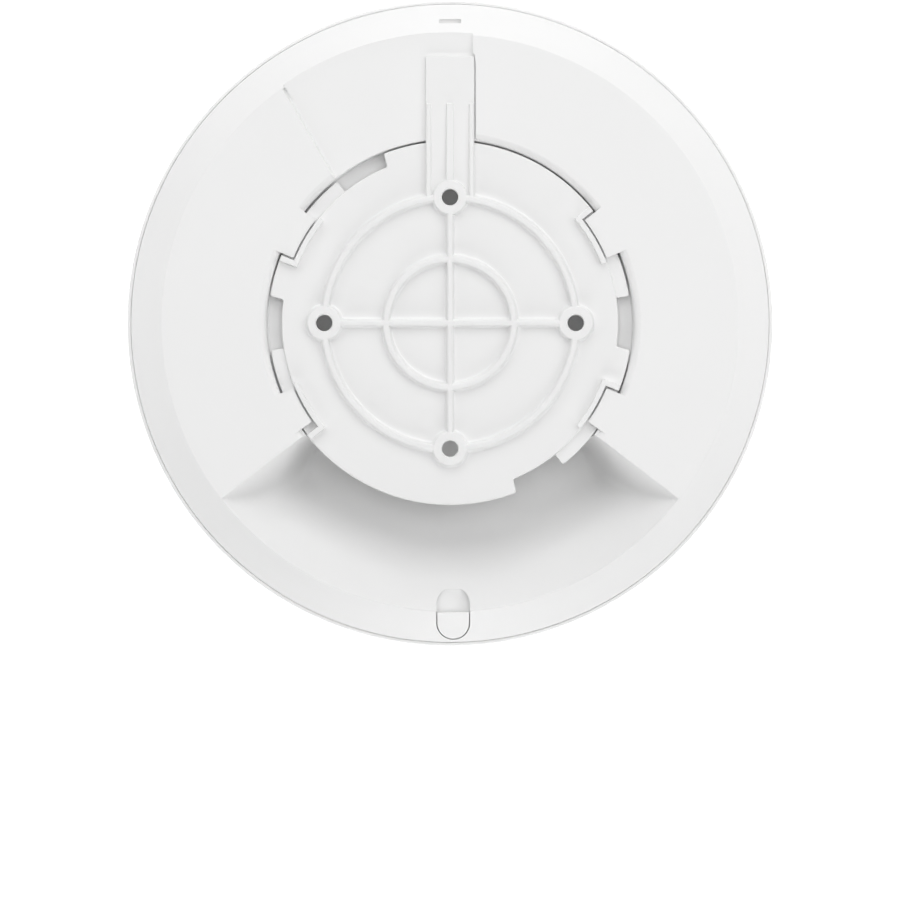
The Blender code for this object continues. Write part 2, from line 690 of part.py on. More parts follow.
def build_jack(parent):
    """A shielded eight-way jack whose mouth faces the cable bay."""
    front = BAY_BACK_Y
    back = front + JACK_LENGTH
    half = JACK_WIDTH / 2
    shield = box("jack_shield", (-half, half), (front, back), (ON_BOARD, JACK_TOP))
    inside = half - SHEET
    cut(shield, box("shield_inside", (-inside, inside), (front - 1.0, back - SHEET),
                    (ON_BOARD - 1.0, JACK_TOP - SHEET)))
    finish(shield, "jack_shield", metal(), parent)
    body = inside - GAP
    top = JACK_TOP - SHEET - GAP
    housing = box("jack_housing", (-body, body), (front + 0.4, back - SHEET - GAP), (ON_BOARD, top))
    port = box("jack_port", (-5.95, 5.95), (front - 1.0, front + 14.0), (ON_BOARD + 2.4, ON_BOARD + 9.4))
    cut(housing, port)
    notch_heights = (ON_BOARD + 9.0, ON_BOARD + 11.2)
    cut(housing, box("latch_notch", (-3.2, 3.2), (front - 1.0, front + 14.0), notch_heights))
    finish(housing, "jack_housing", black_plastic(), parent)
    low = ON_BOARD + 2.4 + GAP
    contacts = box("jack_contacts", (-4.2, 4.2), (front + 12.7, front + 13.7), (low, low + 0.5))
    for i in range(8):
        x = (i - 3.5) * 1.02
        join(contacts, box("contact", (x - 0.2, x + 0.2), (front + 5.0, front + 13.2), (low, low + 0.4)))
    gold = material("contact_gold", (0.85, 0.62, 0.25), 0.3, 1.0)
    return finish(contacts, "jack_contacts", gold, parent)


def build_reset(casing_parent, button_parent):
    switch_front = BAY_BACK_Y + 5.2
    switch = box("reset_switch", (RESET_X - 3.0, RESET_X + 3.0), (switch_front, switch_front + 3.5),
                 (ON_BOARD, RESET_Z + 3.0))
    finish(switch, "reset_switch", black_plastic(), casing_parent)
    stem = cylinder("reset_button", 1.3, BAY_BACK_Y + 0.3, switch_front - 0.7, (RESET_X, RESET_Z), 20, "Y")
    flange = cylinder("button_flange", 2.2, BAY_BACK_Y + BAY_WALL + GAP, BAY_BACK_Y + BAY_WALL + 1.2,
                      (RESET_X, RESET_Z), 20, "Y")
    join(stem, flange)
    finish(stem, "reset_button", material("grey_plastic", (0.45, 0.45, 0.45), 0.5), button_parent)


def chip(name, centre, size, height, look, parent):
    return finish(block(name, centre, size, ON_BOARD, height), name, look, parent)


def build_electronics(parent):
    black = material("chip_black", (0.03, 0.03, 0.035), 0.4)
    ferrite = material("ferrite", (0.12, 0.12, 0.13), 0.7)
    chip("processor", (0.0, 28.0), (19.0, 19.0), 1.2, black, parent)
    chip("memory_left", (-17.0, 34.0), (9.0, 12.0), 1.0, black, parent)
    chip("memory_right", (17.0, 34.0), (9.0, 12.0), 1.0, black, parent)
    chip("flash_chip", (16.0, 16.0), (8.0, 6.0), 1.0, black, parent)
    chip("clock_crystal", (-14.0, 18.0), (3.2, 2.5), 0.8, metal(), parent)
    chip("network_transformer", (0.0, 7.0), (15.0, 8.0), 4.5, black, parent)
    chip("power_transformer", (-22.0, -8.0), (13.0, 13.0), 9.0, ferrite, parent)
    chip("power_inductor_1", (23.0, -10.0), (7.0, 7.0), 4.0, ferrite, parent)
    chip("power_inductor_2", (32.0, -10.0), (7.0, 7.0), 4.0, ferrite, parent)
    sleeve = material("capacitor_sleeve", (0.08, 0.10, 0.25), 0.4, 0.3)
    for i, x in enumerate((-48.0, -41.0, -34.0), 1):
        can = cylinder("capacitor", 3.1, ON_BOARD, ON_BOARD + 9.0, (x, -4.0), 20)
        finish(can, "capacitor_%d" % i, sleeve, parent)


def build_radio(side, name, parent):
    """One radio: a chip inside a shield can, with a pad that carries its heat to the plate above."""
    centre = (side * RADIO_X, RADIO_Y)
    half_x, half_y, height = 12.0, 10.0, 3.0
    can = block("shield_can_" + name, centre, (2 * half_x, 2 * half_y), ON_BOARD, height)
    inside = (2 * (half_x - SHEET), 2 * (half_y - SHEET))
    cut(can, block("can_inside", centre, inside, ON_BOARD - 1.0, height - SHEET + 1.0))
    finish(can, "shield_can_" + name, metal(), parent)
    chip("radio_chip_" + name, centre, (9.0, 9.0), 0.9, black_plastic(), parent)


def build_cooling(parent):
    """An aluminium plate on four legs, with a pad under each of its three pedestals."""
    plate_low = -14.6
    plate = box("heat_spreader", (-46.0, 46.0), (2.0, 40.0), (plate_low, plate_low + 1.5))
    pads = (("processor", (0.0, 28.0), 1.2), ("left", (-RADIO_X, RADIO_Y), 3.0),
            ("right", (RADIO_X, RADIO_Y), 3.0))
    grey = material("thermal_pad", (0.35, 0.42, 0.50), 0.8)
    pad_height = 1.0
    for name, centre, chip_height in pads:
        pad_low = ON_BOARD + chip_height + GAP
        finish(block("thermal_pad_" + name, centre, (14.0, 14.0), pad_low, pad_height),
               "thermal_pad_" + name, grey, parent)
        pedestal_low = pad_low + pad_height + GAP
        join(plate, block("pedestal", centre, (15.0, 15.0), pedestal_low, plate_low + 0.5 - pedestal_low))
    for at in ((-14.0, 5.0), (14.0, 5.0), (-43.0, 36.0), (43.0, 36.0)):
        join(plate, cylinder("plate_leg", 1.8, ON_BOARD, plate_low + 0.5, at, 16))
    finish(plate, "heat_spreader", material("aluminium", (0.75, 0.76, 0.77), 0.35, 1.0), parent)


def build_leds(parent):
    """Six status lights on a thin ring-shaped strip, over the light ring."""
    profile = ring_profile(LED_RADIUS - 1.2, LED_RADIUS + 1.2, UNDER_BOARD - 0.3, UNDER_BOARD)
    strip = turned("led_strip", profile, RING_STEPS)
    for i in range(6):
        at = plan_point(LED_RADIUS, 60.0 * i)
        join(strip, block("led", at, (1.6, 1.6), UNDER_BOARD - 0.9, 0.8))
    return finish(strip, "led_strip", material("led", (0.85, 0.90, 1.0), 0.2), parent)


def build_antennas(parent):
    """Four bent-metal antennas under the board, standing clear of the front cover."""
    drop = 4.5
    reach = 16.0
    outline = [(0.0, 0.0), (-5.0, 0.0), (-5.0, -SHEET), (-SHEET, -SHEET), (-SHEET, -drop), (reach, -drop),
               (reach, SHEET - drop), (0.0, SHEET - drop)]
    for i in range(4):
        bearing = 45.0 + 90.0 * i
        plate = prism("antenna", -4.0, 4.0, outline)
        x, y = plan_point(44.0, bearing)
        turn = Matrix.Rotation(math.radians(bearing), 4, "Z")
        stand = Matrix.Rotation(math.pi / 2, 4, "X")
        plate.matrix_world = Matrix.Translation(Vector((x, y, UNDER_BOARD)) * MM) @ turn @ stand
        finish(plate, "antenna_%d" % (i + 1), metal(), parent)


# ---------------------------------------------------------------- assembly

def build_all():
    clear_scene()
    make_collection(PARTS)
    make_collection(CUTTERS)
    bracket_frame = joint_empty("bracket_frame", (0.0, 0.0, 0.0))
    twist_axis = joint_empty("twist_axis", (0.0, 0.0, 0.0), bracket_frame)
    bend = (0.0, ARM_ROOT_Y + GAP / 2, (ARM_TOP + ARM_BOTTOM) / 2)
    arm_bend = joint_empty("arm_bend", bend, bracket_frame)
    button_axis = joint_empty("button_axis", (RESET_X, BAY_BACK_Y, RESET_Z), twist_axis)
    knockout_frame = joint_empty("knockout_frame", (KNOCKOUT_X, KNOCKOUT_SPLIT_Y, KNOCKOUT_FLOOR), twist_axis)
    build_bracket(bracket_frame)
    build_arm(arm_bend)
    build_casing(twist_axis)
    build_knockout(knockout_frame)
    build_cover(twist_axis)
    build_center_cap(twist_axis)
    build_light_ring(twist_axis)
    build_baffles(twist_axis)
    build_board(twist_axis)
    build_screws(twist_axis)
    build_jack(twist_axis)
    build_reset(twist_axis, button_axis)
    build_electronics(twist_axis)
    build_radio(-1.0, "left", twist_axis)
    build_radio(1.0, "right", twist_axis)
    build_cooling(twist_axis)
    build_leds(twist_axis)
    build_antennas(twist_axis)


build_all()
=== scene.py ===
"""Looks of the ceiling access point, seen from the side that faces the ceiling.

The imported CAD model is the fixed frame. This script replaces the visible shells with finer meshes, whose
edges are rounded the way a moulding's are, and gives every CAD node that stays a procedural material.
Lengths in the shape functions are millimetres in the CAD frame: +Z up into the ceiling, +Y along the arm,
-Y towards the cable bay. A bearing is an angle in degrees from +Y, counter-clockwise seen from above.
"""

import json
import math

import bmesh
import bpy
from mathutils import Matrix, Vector


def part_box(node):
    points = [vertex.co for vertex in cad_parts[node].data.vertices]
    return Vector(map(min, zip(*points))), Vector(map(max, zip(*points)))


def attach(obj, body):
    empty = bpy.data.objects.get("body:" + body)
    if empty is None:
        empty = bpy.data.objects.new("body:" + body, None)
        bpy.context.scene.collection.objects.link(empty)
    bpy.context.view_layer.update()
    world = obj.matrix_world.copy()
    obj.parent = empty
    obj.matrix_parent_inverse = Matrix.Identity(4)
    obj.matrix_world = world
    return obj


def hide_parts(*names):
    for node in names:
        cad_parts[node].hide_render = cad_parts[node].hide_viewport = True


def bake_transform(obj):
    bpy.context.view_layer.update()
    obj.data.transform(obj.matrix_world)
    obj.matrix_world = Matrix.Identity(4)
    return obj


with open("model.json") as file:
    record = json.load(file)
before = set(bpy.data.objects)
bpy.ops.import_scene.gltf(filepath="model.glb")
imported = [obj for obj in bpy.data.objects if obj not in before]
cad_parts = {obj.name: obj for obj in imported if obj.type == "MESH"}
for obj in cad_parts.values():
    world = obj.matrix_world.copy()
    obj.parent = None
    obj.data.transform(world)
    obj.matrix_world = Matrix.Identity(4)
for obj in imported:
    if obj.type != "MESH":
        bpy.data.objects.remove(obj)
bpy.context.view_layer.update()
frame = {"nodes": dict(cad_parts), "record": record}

MM = 0.001


def millimetres(node):
    low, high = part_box(node)
    return low / MM, high / MM


# Sizes that the frame gives
CASING_HIGH = millimetres("rear_casing")[1]
COVER_LOW, COVER_HIGH = millimetres("front_cover")
BRACKET_LOW = millimetres("mounting_bracket")[0]
ARM_LOW, ARM_HIGH = millimetres("locking_arm")
TAB_LOW, TAB_HIGH = millimetres("cable_knockout")
CAP_LOW, CAP_HIGH = millimetres("center_cap")
RING_LOW, RING_HIGH = millimetres("light_ring")

HOUSING_RADIUS = COVER_HIGH.x
HOUSING_BOTTOM = COVER_LOW.z
LIP_Z = COVER_HIGH.z
RIM_RADIUS = CASING_HIGH.x
BACK_Z = CASING_HIGH.z

# Rear casing
BAND_RADIUS = 71.4
RIM_Z = -5.6
SKIRT_Z = -8.0
CASING_SKIN = 1.6
WELL_RADIUS = 45.35
WELL_Z = -5.0
WELL_EDGE = 2.1                # radius of the rounded edge round the well
WELL_EDGE_ARC = 82.0           # degrees of it, which leave a slight corner at the back surface
WELL_FLOOR_ROUND = 0.5
BAND_ROUND = 0.8               # rounding where the back meets the rim band
RIM_ROUND = 0.45               # rounding at the outer edge
HOOK_INNER_RADIUS = 41.95
HOOK_BOTTOM = -2.2
HOOK_HALF_ANGLE = 7.4
HOOK_BAY_ANGLE = 5.5           # from a hook's middle to its end, where that end is beside the bay
HOOK_ROUND = 0.3
HOOK_SOFT = 0.1                # rounding of the edges of hooks and ledges
LEDGE_GAP = 0.12               # between the bracket and a ledge
BAY_SIDE_HOOKS = (120.0, 240.0)  # bearings of the two hooks beside the bay
SCREW_POCKET_RADIUS = 4.2      # room for a mounting screw's head in the well's floor
SCREW_POCKET_FLOOR = -9.2
SCREW_POCKET_SKIN = 1.2
UNLOCK_ANGLE = 30.0            # turn from locked to released

# Bracket
BRACKET_RADIUS = 45.0
RECESS_RADIUS = 41.65
PLATE_TOP = -1.8
PLATE_BOTTOM = -3.2
PLATE_SOFT = 0.35              # rounding of the plate's edge
NOTCH_ROUND = 0.55
TAB_ROUND = 0.5
LIP_END_ROUND = 0.4
SKIRT_INNER_RADIUS = 39.9
SKIRT_OUTER_RADIUS = 41.3
LIP_INNER_RADIUS = 40.2
LIP_OUTER_RADIUS = 41.5
TAB_TOP = -2.5
LIP_TOP = -0.2

# The four bayonet units: where each starts, and then bearings from its start
BAYONET_STARTS = (0.0, 60.0, 180.0, 240.0)
NOTCH_START = 21.4
NOTCH_SLANT = 0.6              # a notch is narrower by this bearing at its inner end
NOTCH_END = 38.6
LIP_START = 51.0
HOOK_CENTRE = 60.0
STOP_START = 67.9
STOP_END = 70.0

# Ribs, bosses and screw holes
HOLE_CIRCLE_RADIUS = 31.1
HOLE_RADIUS = 2.0
HOLE_LEAD = 0.35               # a screw hole is wider by this at its mouth
HOLE_LEAD_DEPTH = 0.3
BOSS_RADIUS = 4.25
BOSS_DRAFT = 0.15
BOSS_ROUND = 0.45
SLEEVE_STEP = 0.6              # a sleeve is narrower than its boss by this
INNER_RING_RADIUS = 15.8
RING_WIDTH = 1.8
CROSS_WIDTH = 1.6
RIB_FOOT = -2.3                # ribs reach this far down into the plate
RIB_DRAFT = 0.22
RIB_ROUND = 0.62               # rounding of a rib's top corners
FOOT_FILLET = 0.75             # hollow where a rib or boss meets the plate

# Tops of the ribs and bosses. Where they meet they differ a little, so that no two faces lie in one plane
CROSS_TOP_X = 0.0
BOSS_TOP = -0.01
CROSS_TOP_Y = -0.02
OUTER_RING_TOP = -0.03
INNER_RING_TOP = -0.05
ARM_RIB_TOP = -0.2
MERGE = 0.02                   # a fillet starts this far under the plate's face

# Arm
ARM_HALF_WIDTH = ARM_HIGH.x
ARM_TIP_Y = ARM_HIGH.y
ARM_BOTTOM = ARM_LOW.z
ARM_TOP = -1.0
ARM_BEND_Y = ARM_LOW.y - 0.15
ARM_INNER_Y = 30.7             # under the outer rib ring
RIB_END_Y = 54.5
RIB_FULL_Y = 40.0
RIB_END_TOP = -0.62            # height of the arm's ribs where they end
SIDE_RIB_WIDTH = 1.3
SIDE_RIB_INSET = 0.03          # from the arm's edge to a side rib
CENTRE_RIB_WIDTH = 2.0
ARM_RIB_BEVEL = 0.3
ARM_RIB_DRAFT = 0.05
ARM_RIB_SINK = 0.4             # the arm's ribs reach this far down into it
ARM_SOFT = 0.16                # rounding of the arm's long edges
ARM_TIP_ROUND = 0.4
ARM_STATIONS = 24              # points along each side of the arm

# Faint rings left by mould inserts: (place, radius)
PLATE_MARKS = (((-18.2, 13.6), 2.6), ((-22.2, 6.1), 2.6), ((-17.2, -18.4), 2.6), ((-5.8, -24.1), 2.6),
               ((25.2, 31.2), 2.3))
ARM_MARK = ((0.0, 58.4), 2.5)

# Channel beside the arm
CHANNEL_FLOOR = -1.88
CHANNEL_RAMP_RADIUS = 66.6
CHANNEL_END = (75.0, -0.68)    # the ramp aims here, and so runs out through the rim band
CHANNEL_BEVEL = 0.6
CHANNEL_SIDE = ARM_HALF_WIDTH + 0.4
POCKET_SIDE = 5.6              # the recess beyond the arm's tip ends here
POCKET_START = 2.5             # from the arm's tip back to where the recess narrows towards the pocket
TIP_GAP_ASIDE = 0.12           # from the arm's tip corner to the pocket, sideways and outwards
TIP_GAP_AHEAD = 0.45
CHANNEL_CORNER = 1.5           # radius of the casing's corner between channel and well

# Cable bay, knockout and slot
BAY_BEARING = 180.0
BAY_HALF_ANGLE = 52.5
BAY_FLOOR = -18.0
BAY_FLAT_RADIUS = 48.0
BAY_RIM_RADIUS = 71.3
BAY_WALL = 1.5
BAY_BACK_Y = -23.0
BAY_SIDE_REACH = 20.0          # how far in from its top edge a side of the bay reaches the floor, at the rim
BAY_INNER_REACH = 4.5          # the same beside the well, where the side is steeper
BAY_STEEP_RADIUS = 45.0        # inside this radius the side keeps that reach
BAY_HOLLOW = 6.0               # sharpness of the hollow between two walls
BAY_LIP_SLOPE = 1.2            # a wall's slope at its top edge, as a share of its mean slope
BAY_START_RADIUS = 20.0
BAY_MARGIN = 0.4               # how far the cutter goes past the rim
BAY_MARGIN_ANGLE = 0.5         # how far it goes past each side, in degrees
BAY_ROWS = 44
BAY_COLUMNS = 44               # on each side of the bay's middle
BAY_CUTTER_TOP = 3.0
KNOCKOUT_X = (TAB_LOW.x + TAB_HIGH.x) / 2
KNOCKOUT_HALF_WIDTH = 4.18
KNOCKOUT_INNER_Y = -65.4
KNOCKOUT_OUTER_Y = -78.4
KNOCKOUT_FLOOR = -6.6
KNOCKOUT_SKIN = 1.2
KNOCKOUT_GAP = 0.25            # round the tab
TAB_BEVEL = 0.35
SLOT_ROUND = 0.3
WINDOW_LOW = -22.0
WINDOW_HIGH = -6.8
WINDOW_HALF_WIDTH = 8.3
WINDOW_BACK_Y = 2.0
BUTTON_X = 12.0
BUTTON_Z = -12.5
BUTTON_HOLE_RADIUS = 1.6
SLOT_Y = 74.7
SLOT_LENGTH = 5.5
SLOT_WIDTH = 1.05
SLOT_FLOOR = -3.9

# Front cover
COVER_SKIN = 2.0
SHOULDER_RADIUS = 48.0
SHOULDER_Z = -9.0
SEAM = 0.03                    # gap round the rear casing, under the rounded edges
LIP_ROUND = 0.6
LIP_INNER_ROUND = 0.35
EDGE_ROUND = 0.15              # bevel round the front's openings
LIGHT_RING_WIDTH = 3.0
LIGHT_RING_ROUND = 0.3
LIGHT_RING_SET_BACK = 0.1      # the light ring's face is this much deeper than in CAD

ARC_STEP = 1.5
TURN_STEPS = 240
SOFT = 0.2                     # rounding of a moulded edge


# ---------------------------------------------------------------- shape helpers

def plan_point(radius, bearing):
    angle = math.radians(bearing)
    return (-radius * math.sin(angle), radius * math.cos(angle))


def plan_arc(radius, start, end):
    steps = max(1, math.ceil(abs(end - start) / ARC_STEP))
    return [plan_point(radius, start + (end - start) * i / steps) for i in range(steps + 1)]


def sector(inner, outer, start, end):
    return plan_arc(outer, start, end) + plan_arc(inner, end, start)


def rounded(corners, segments=5):
    """A closed outline from corners, each (x, y) or (x, y, radius). A radius turns its corner into an arc."""
    outline = []
    for i, corner in enumerate(corners):
        here = Vector(corner[:2])
        radius = corner[2] if len(corner) > 2 else 0.0
        if radius <= 0.0:
            outline.append(tuple(here))
            continue
        back = (Vector(corners[i - 1][:2]) - here).normalized()
        ahead = (Vector(corners[(i + 1) % len(corners)][:2]) - here).normalized()
        half = math.acos(max(-1.0, min(1.0, back.dot(ahead)))) / 2
        centre = here + (back + ahead).normalized() * (radius / math.sin(half))
        first = here + back * (radius / math.tan(half)) - centre
        last = here + ahead * (radius / math.tan(half)) - centre
        start = math.atan2(first.y, first.x)
        sweep = (math.atan2(last.y, last.x) - start + math.pi) % math.tau - math.pi
        turns = [start + sweep * k / segments for k in range(segments + 1)]
        outline += [(centre.x + radius * math.cos(t), centre.y + radius * math.sin(t)) for t in turns]
    return outline


def softened(outline, corners, radius):
    """The outline with this radius at the points listed in corners."""
    keys = {(round(x, 4), round(y, 4)) for x, y in corners}
    marked = [(x, y, radius if (round(x, 4), round(y, 4)) in keys else 0.0) for x, y in outline]
    return rounded(marked, 4)


def obround(x, y_low, y_high, half_width):
    low = [math.pi + math.pi * i / 20 for i in range(21)]
    high = [math.pi * i / 20 for i in range(21)]
    points = [(x + half_width * math.cos(t), y_low + half_width * (1 + math.sin(t))) for t in low]
    return points + [(x + half_width * math.cos(t), y_high - half_width * (1 - math.sin(t))) for t in high]


def rectangle(x_low, x_high, y_low, y_high):
    return [(x_low, y_low), (x_high, y_low), (x_high, y_high), (x_low, y_high)]


def settle(drawn, name):
    """Turns an object into a plain welded mesh in the CAD frame."""
    bpy.context.view_layer.update()
    graph = bpy.context.evaluated_depsgraph_get()
    mesh = bpy.data.meshes.new_from_object(drawn.evaluated_get(graph))
    mesh.transform(drawn.matrix_world)
    mesh.materials.clear()
    weld = bmesh.new()
    weld.from_mesh(mesh)
    bmesh.ops.remove_doubles(weld, verts=weld.verts, dist=0.001 * MM)
    bmesh.ops.recalc_face_normals(weld, faces=weld.faces)
    weld.to_mesh(mesh)
    weld.free()
    bpy.data.objects.remove(drawn, do_unlink=True)
    made = bpy.data.objects.new(name, mesh)
    bpy.context.scene.collection.objects.link(made)
    return made


def prism(name, low, high, outline, soft=SOFT):
    """A flat outline extruded between two heights, with its edges rounded by soft."""
    curve = bpy.data.curves.new(name, "CURVE")
    curve.dimensions = "2D"
    curve.fill_mode = "BOTH"
    curve.extrude = ((high - low) / 2 - soft) * MM
    curve.bevel_depth = soft * MM
    curve.offset = -soft * MM
    curve.bevel_resolution = 2
    spline = curve.splines.new("POLY")
    spline.points.add(len(outline) - 1)
    for point, (x, y) in zip(spline.points, outline):
        point.co = (x * MM, y * MM, 0.0, 1.0)
    spline.use_cyclic_u = True
    drawn = bpy.data.objects.new(name, curve)
    bpy.context.scene.collection.objects.link(drawn)
    drawn.location.z = (low + high) / 2 * MM
    return settle(drawn, name)


def turned(name, profile, steps=TURN_STEPS, at=(0.0, 0.0)):
    """A closed (radius, z) profile turned about a vertical axis."""
    mesh = bpy.data.meshes.new(name)
    edges = [(i, (i + 1) % len(profile)) for i in range(len(profile))]
    mesh.from_pydata([(r * MM, 0.0, z * MM) for r, z in profile], edges, [])
    drawn = bpy.data.objects.new(name, mesh)
    bpy.context.scene.collection.objects.link(drawn)
    drawn.location = (at[0] * MM, at[1] * MM, 0.0)
    screw = drawn.modifiers.new("turn", "SCREW")
    screw.steps = steps
    screw.render_steps = steps
    screw.use_merge_vertices = True
    screw.merge_threshold = 0.0005 * MM
    return settle(drawn, name)


def finished_mesh(name, made):
    """A bmesh as an object in the scene."""
    mesh = bpy.data.meshes.new(name)
    made.to_mesh(mesh)
    made.free()
    obj = bpy.data.objects.new(name, mesh)
    bpy.context.scene.collection.objects.link(obj)
    return obj


def bar(name, stations):
    """A solid along a straight plan line. A station is a plan point and a section of (across, z) points."""
    feet = [Vector(foot) for foot, section in stations]
    along = (feet[-1] - feet[0]).normalized()
    across = Vector((along.y, -along.x))
    made = bmesh.new()
    rows = []
    for foot, (_, section) in zip(feet, stations):
        corners = [(foot + across * reach, z) for reach, z in section]
        rows.append([made.verts.new((at.x * MM, at.y * MM, z * MM)) for at, z in corners])
    for first, second in zip(rows, rows[1:]):
        for i in range(len(first)):
            made.faces.new((first[i - 1], first[i], second[i], second[i - 1]))
    made.faces.new(rows[0][::-1])
    made.faces.new(rows[-1])
    bmesh.ops.recalc_face_normals(made, faces=made.faces)
    return finished_mesh(name, made)


def combine(target, others, operation):
    """Applies one Boolean after another to target, and removes the solids that it used."""
    name = target.name
    for other in others:
        modifier = target.modifiers.new(other.name, "BOOLEAN")
        modifier.operation = operation
        modifier.solver = "EXACT"
        modifier.object = other
        target.name = name + "_work"
        target = settle(target, name)
        bpy.data.objects.remove(other, do_unlink=True)
    return target


def join(target, *others):
    return combine(target, others, "UNION")


def cut(target, *others):
    return combine(target, others, "DIFFERENCE")


def common(target, other):
    return combine(target, [other], "INTERSECT")


def shade(obj, angle=32.0):
    """Smooth shading that keeps flat faces flat and edges over this angle sharp."""
    obj.data.shade_smooth()
    obj.data.set_sharp_from_angle(angle=math.radians(angle))
    weighted = obj.modifiers.new("weighted_normals", "WEIGHTED_NORMAL")
    weighted.keep_sharp = True
    return obj


# ---------------------------------------------------------------- bracket

def rib_section(width, top):
    """A rib's cross-section, with hollow fillets at its foot, draft on its sides and a well rounded top."""
    half = width / 2 - RIB_DRAFT / 2
    foot = half + RIB_DRAFT
    plate = PLATE_TOP - MERGE
    reach = foot + FOOT_FILLET + 0.1
    return rounded([
        (-reach, RIB_FOOT),
        (-reach, plate),
        (-foot, plate, FOOT_FILLET),
        (-half, top, RIB_ROUND),
        (half, top, RIB_ROUND),
        (foot, plate, FOOT_FILLET),
        (reach, plate),
        (reach, RIB_FOOT),
    ], 6)


def rib_ring(name, radius, top):
    profile = [(radius + a, z) for a, z in rib_section(RING_WIDTH, top)]
    return turned(name, profile)


def straight_rib(name, section, end):
    return bar(name, [((-end[0], -end[1]), section), (end, section)])


def boss(name, at, top):
    plate = PLATE_TOP - MERGE
    edge = BOSS_RADIUS
    foot = edge + BOSS_DRAFT
    outer = foot + FOOT_FILLET + 0.2
    profile = rounded([
        (0.0, top),
        (edge, top, BOSS_ROUND),
        (foot, plate, FOOT_FILLET),
        (outer, plate),
        (outer, RIB_FOOT),
        (0.0, RIB_FOOT),
    ], 6)
    return turned(name, profile, 96, at)


def boss_sleeve(at):
    """The boss carried down towards the well's floor. It makes the screw hole deeper."""
    low = BRACKET_LOW.z + 0.05
    high = RIB_FOOT - 0.2
    edge = BOSS_RADIUS - SLEEVE_STEP
    return turned("sleeve", [(0.0, high), (edge, high), (edge, low), (0.0, low)], 64, at)


def hole_cutter(at):
    """A screw hole with a funnel-shaped mouth."""
    low = BRACKET_LOW.z - 1.0
    high = 1.0
    profile = rounded([
        (0.0, high),
        (HOLE_RADIUS + HOLE_LEAD + 0.15, high),
        (HOLE_RADIUS + HOLE_LEAD, 0.15),
        (HOLE_RADIUS, -HOLE_LEAD_DEPTH, HOLE_LEAD_DEPTH),
        (HOLE_RADIUS, low),
        (0.0, low),
    ], 4)
    return turned("hole", profile, 64, at)


def hole_centres():
    return [plan_point(HOLE_CIRCLE_RADIUS, 90.0 * i) for i in range(4)]


def covered_holes():
    """The screw holes that the well's floor lies behind: all but the one over the cable bay."""
    return [at for at in hole_centres() if at[1] > -HOLE_CIRCLE_RADIUS / 2]


def bracket_outline():
    """The plate's edge, with every notch corner a little rounded."""
    bearing = 0.0
    outline = []
    corners = []
    for start in BAYONET_STARTS:
        mouth = start + NOTCH_START
        inside = mouth + NOTCH_SLANT
        outline += plan_arc(BRACKET_RADIUS, bearing, mouth)
        outline += plan_arc(RECESS_RADIUS, inside, start + STOP_START)
        corners += [plan_point(BRACKET_RADIUS, mouth), plan_point(RECESS_RADIUS, inside)]
        bearing = start + STOP_START
    outline += plan_arc(BRACKET_RADIUS, bearing, 360.0)[:-1]
    return softened(outline, corners, NOTCH_ROUND)


def bayonet_unit(start):
    """A thin tab under each hook, and round it an L-shaped lip whose foot stops the hook."""
    tab_radius = BRACKET_RADIUS - 0.2
    tab = sector(SKIRT_INNER_RADIUS + 0.7, tab_radius, start + NOTCH_END, start + STOP_END - 0.4)
    tab = softened(tab, [plan_point(tab_radius, start + NOTCH_END)], TAB_ROUND)
    foot = start + STOP_START + 0.2
    end = start + STOP_END
    lip = plan_arc(LIP_OUTER_RADIUS, start + LIP_START, foot) + plan_arc(BRACKET_RADIUS - 0.1, foot, end)
    lip += plan_arc(LIP_INNER_RADIUS, end, start + LIP_START)
    ends = [plan_point(LIP_OUTER_RADIUS, start + LIP_START), plan_point(LIP_INNER_RADIUS, start + LIP_START)]
    lip = softened(lip, ends, LIP_END_ROUND)
    return [prism("tab", BRACKET_LOW.z, TAB_TOP, tab), prism("lip", RIB_FOOT, LIP_TOP, lip)]


def mould_mark(at, radius, level, depth=0.07, width=0.22):
    """A faint ring that a mould insert leaves."""
    inner = radius - width
    low, high = level - depth, level + 0.5
    return turned("mould_mark", [(inner, high), (radius, high), (radius, low), (inner, low)], 48, at)


def arm_rib(name, x, width):
    """A rib on the arm: level over the plate, then its top sinks into the arm towards the tip."""
    half = width / 2
    low = ARM_TOP - ARM_RIB_SINK
    bevel = ARM_RIB_BEVEL
    side = [
        (ARM_INNER_Y, low),
        (RIB_END_Y, low),
        (RIB_END_Y, ARM_TOP - 0.1),
        (RIB_END_Y - 0.35, RIB_END_TOP - 0.1),
        (RIB_END_Y - 0.8, RIB_END_TOP),
        (RIB_FULL_Y, ARM_RIB_TOP),
        (ARM_INNER_Y, ARM_RIB_TOP),
    ]
    made = bmesh.new()
    rows = []
    for across, drop in ((-half - ARM_RIB_DRAFT, 0.0), (-half, bevel), (-half + bevel, 0.0),
                         (half - bevel, 0.0), (half, bevel), (half + ARM_RIB_DRAFT, 0.0)):
        foot = abs(across) > half
        row = []
        for y, z in side:
            height = z
            if z > low:
                height = low + 0.05 if foot else z - drop
            row.append(made.verts.new(((x + across) * MM, y * MM, height * MM)))
        rows.append(row)
    count = len(side)
    for first, second in zip(rows, rows[1:]):
        for i in range(count):
            j = (i + 1) % count
            made.faces.new((first[i], first[j], second[j], second[i]))
    made.faces.new(rows[0])
    made.faces.new(rows[-1][::-1])
    bmesh.ops.recalc_face_normals(made, faces=made.faces)
    return finished_mesh(name, made)


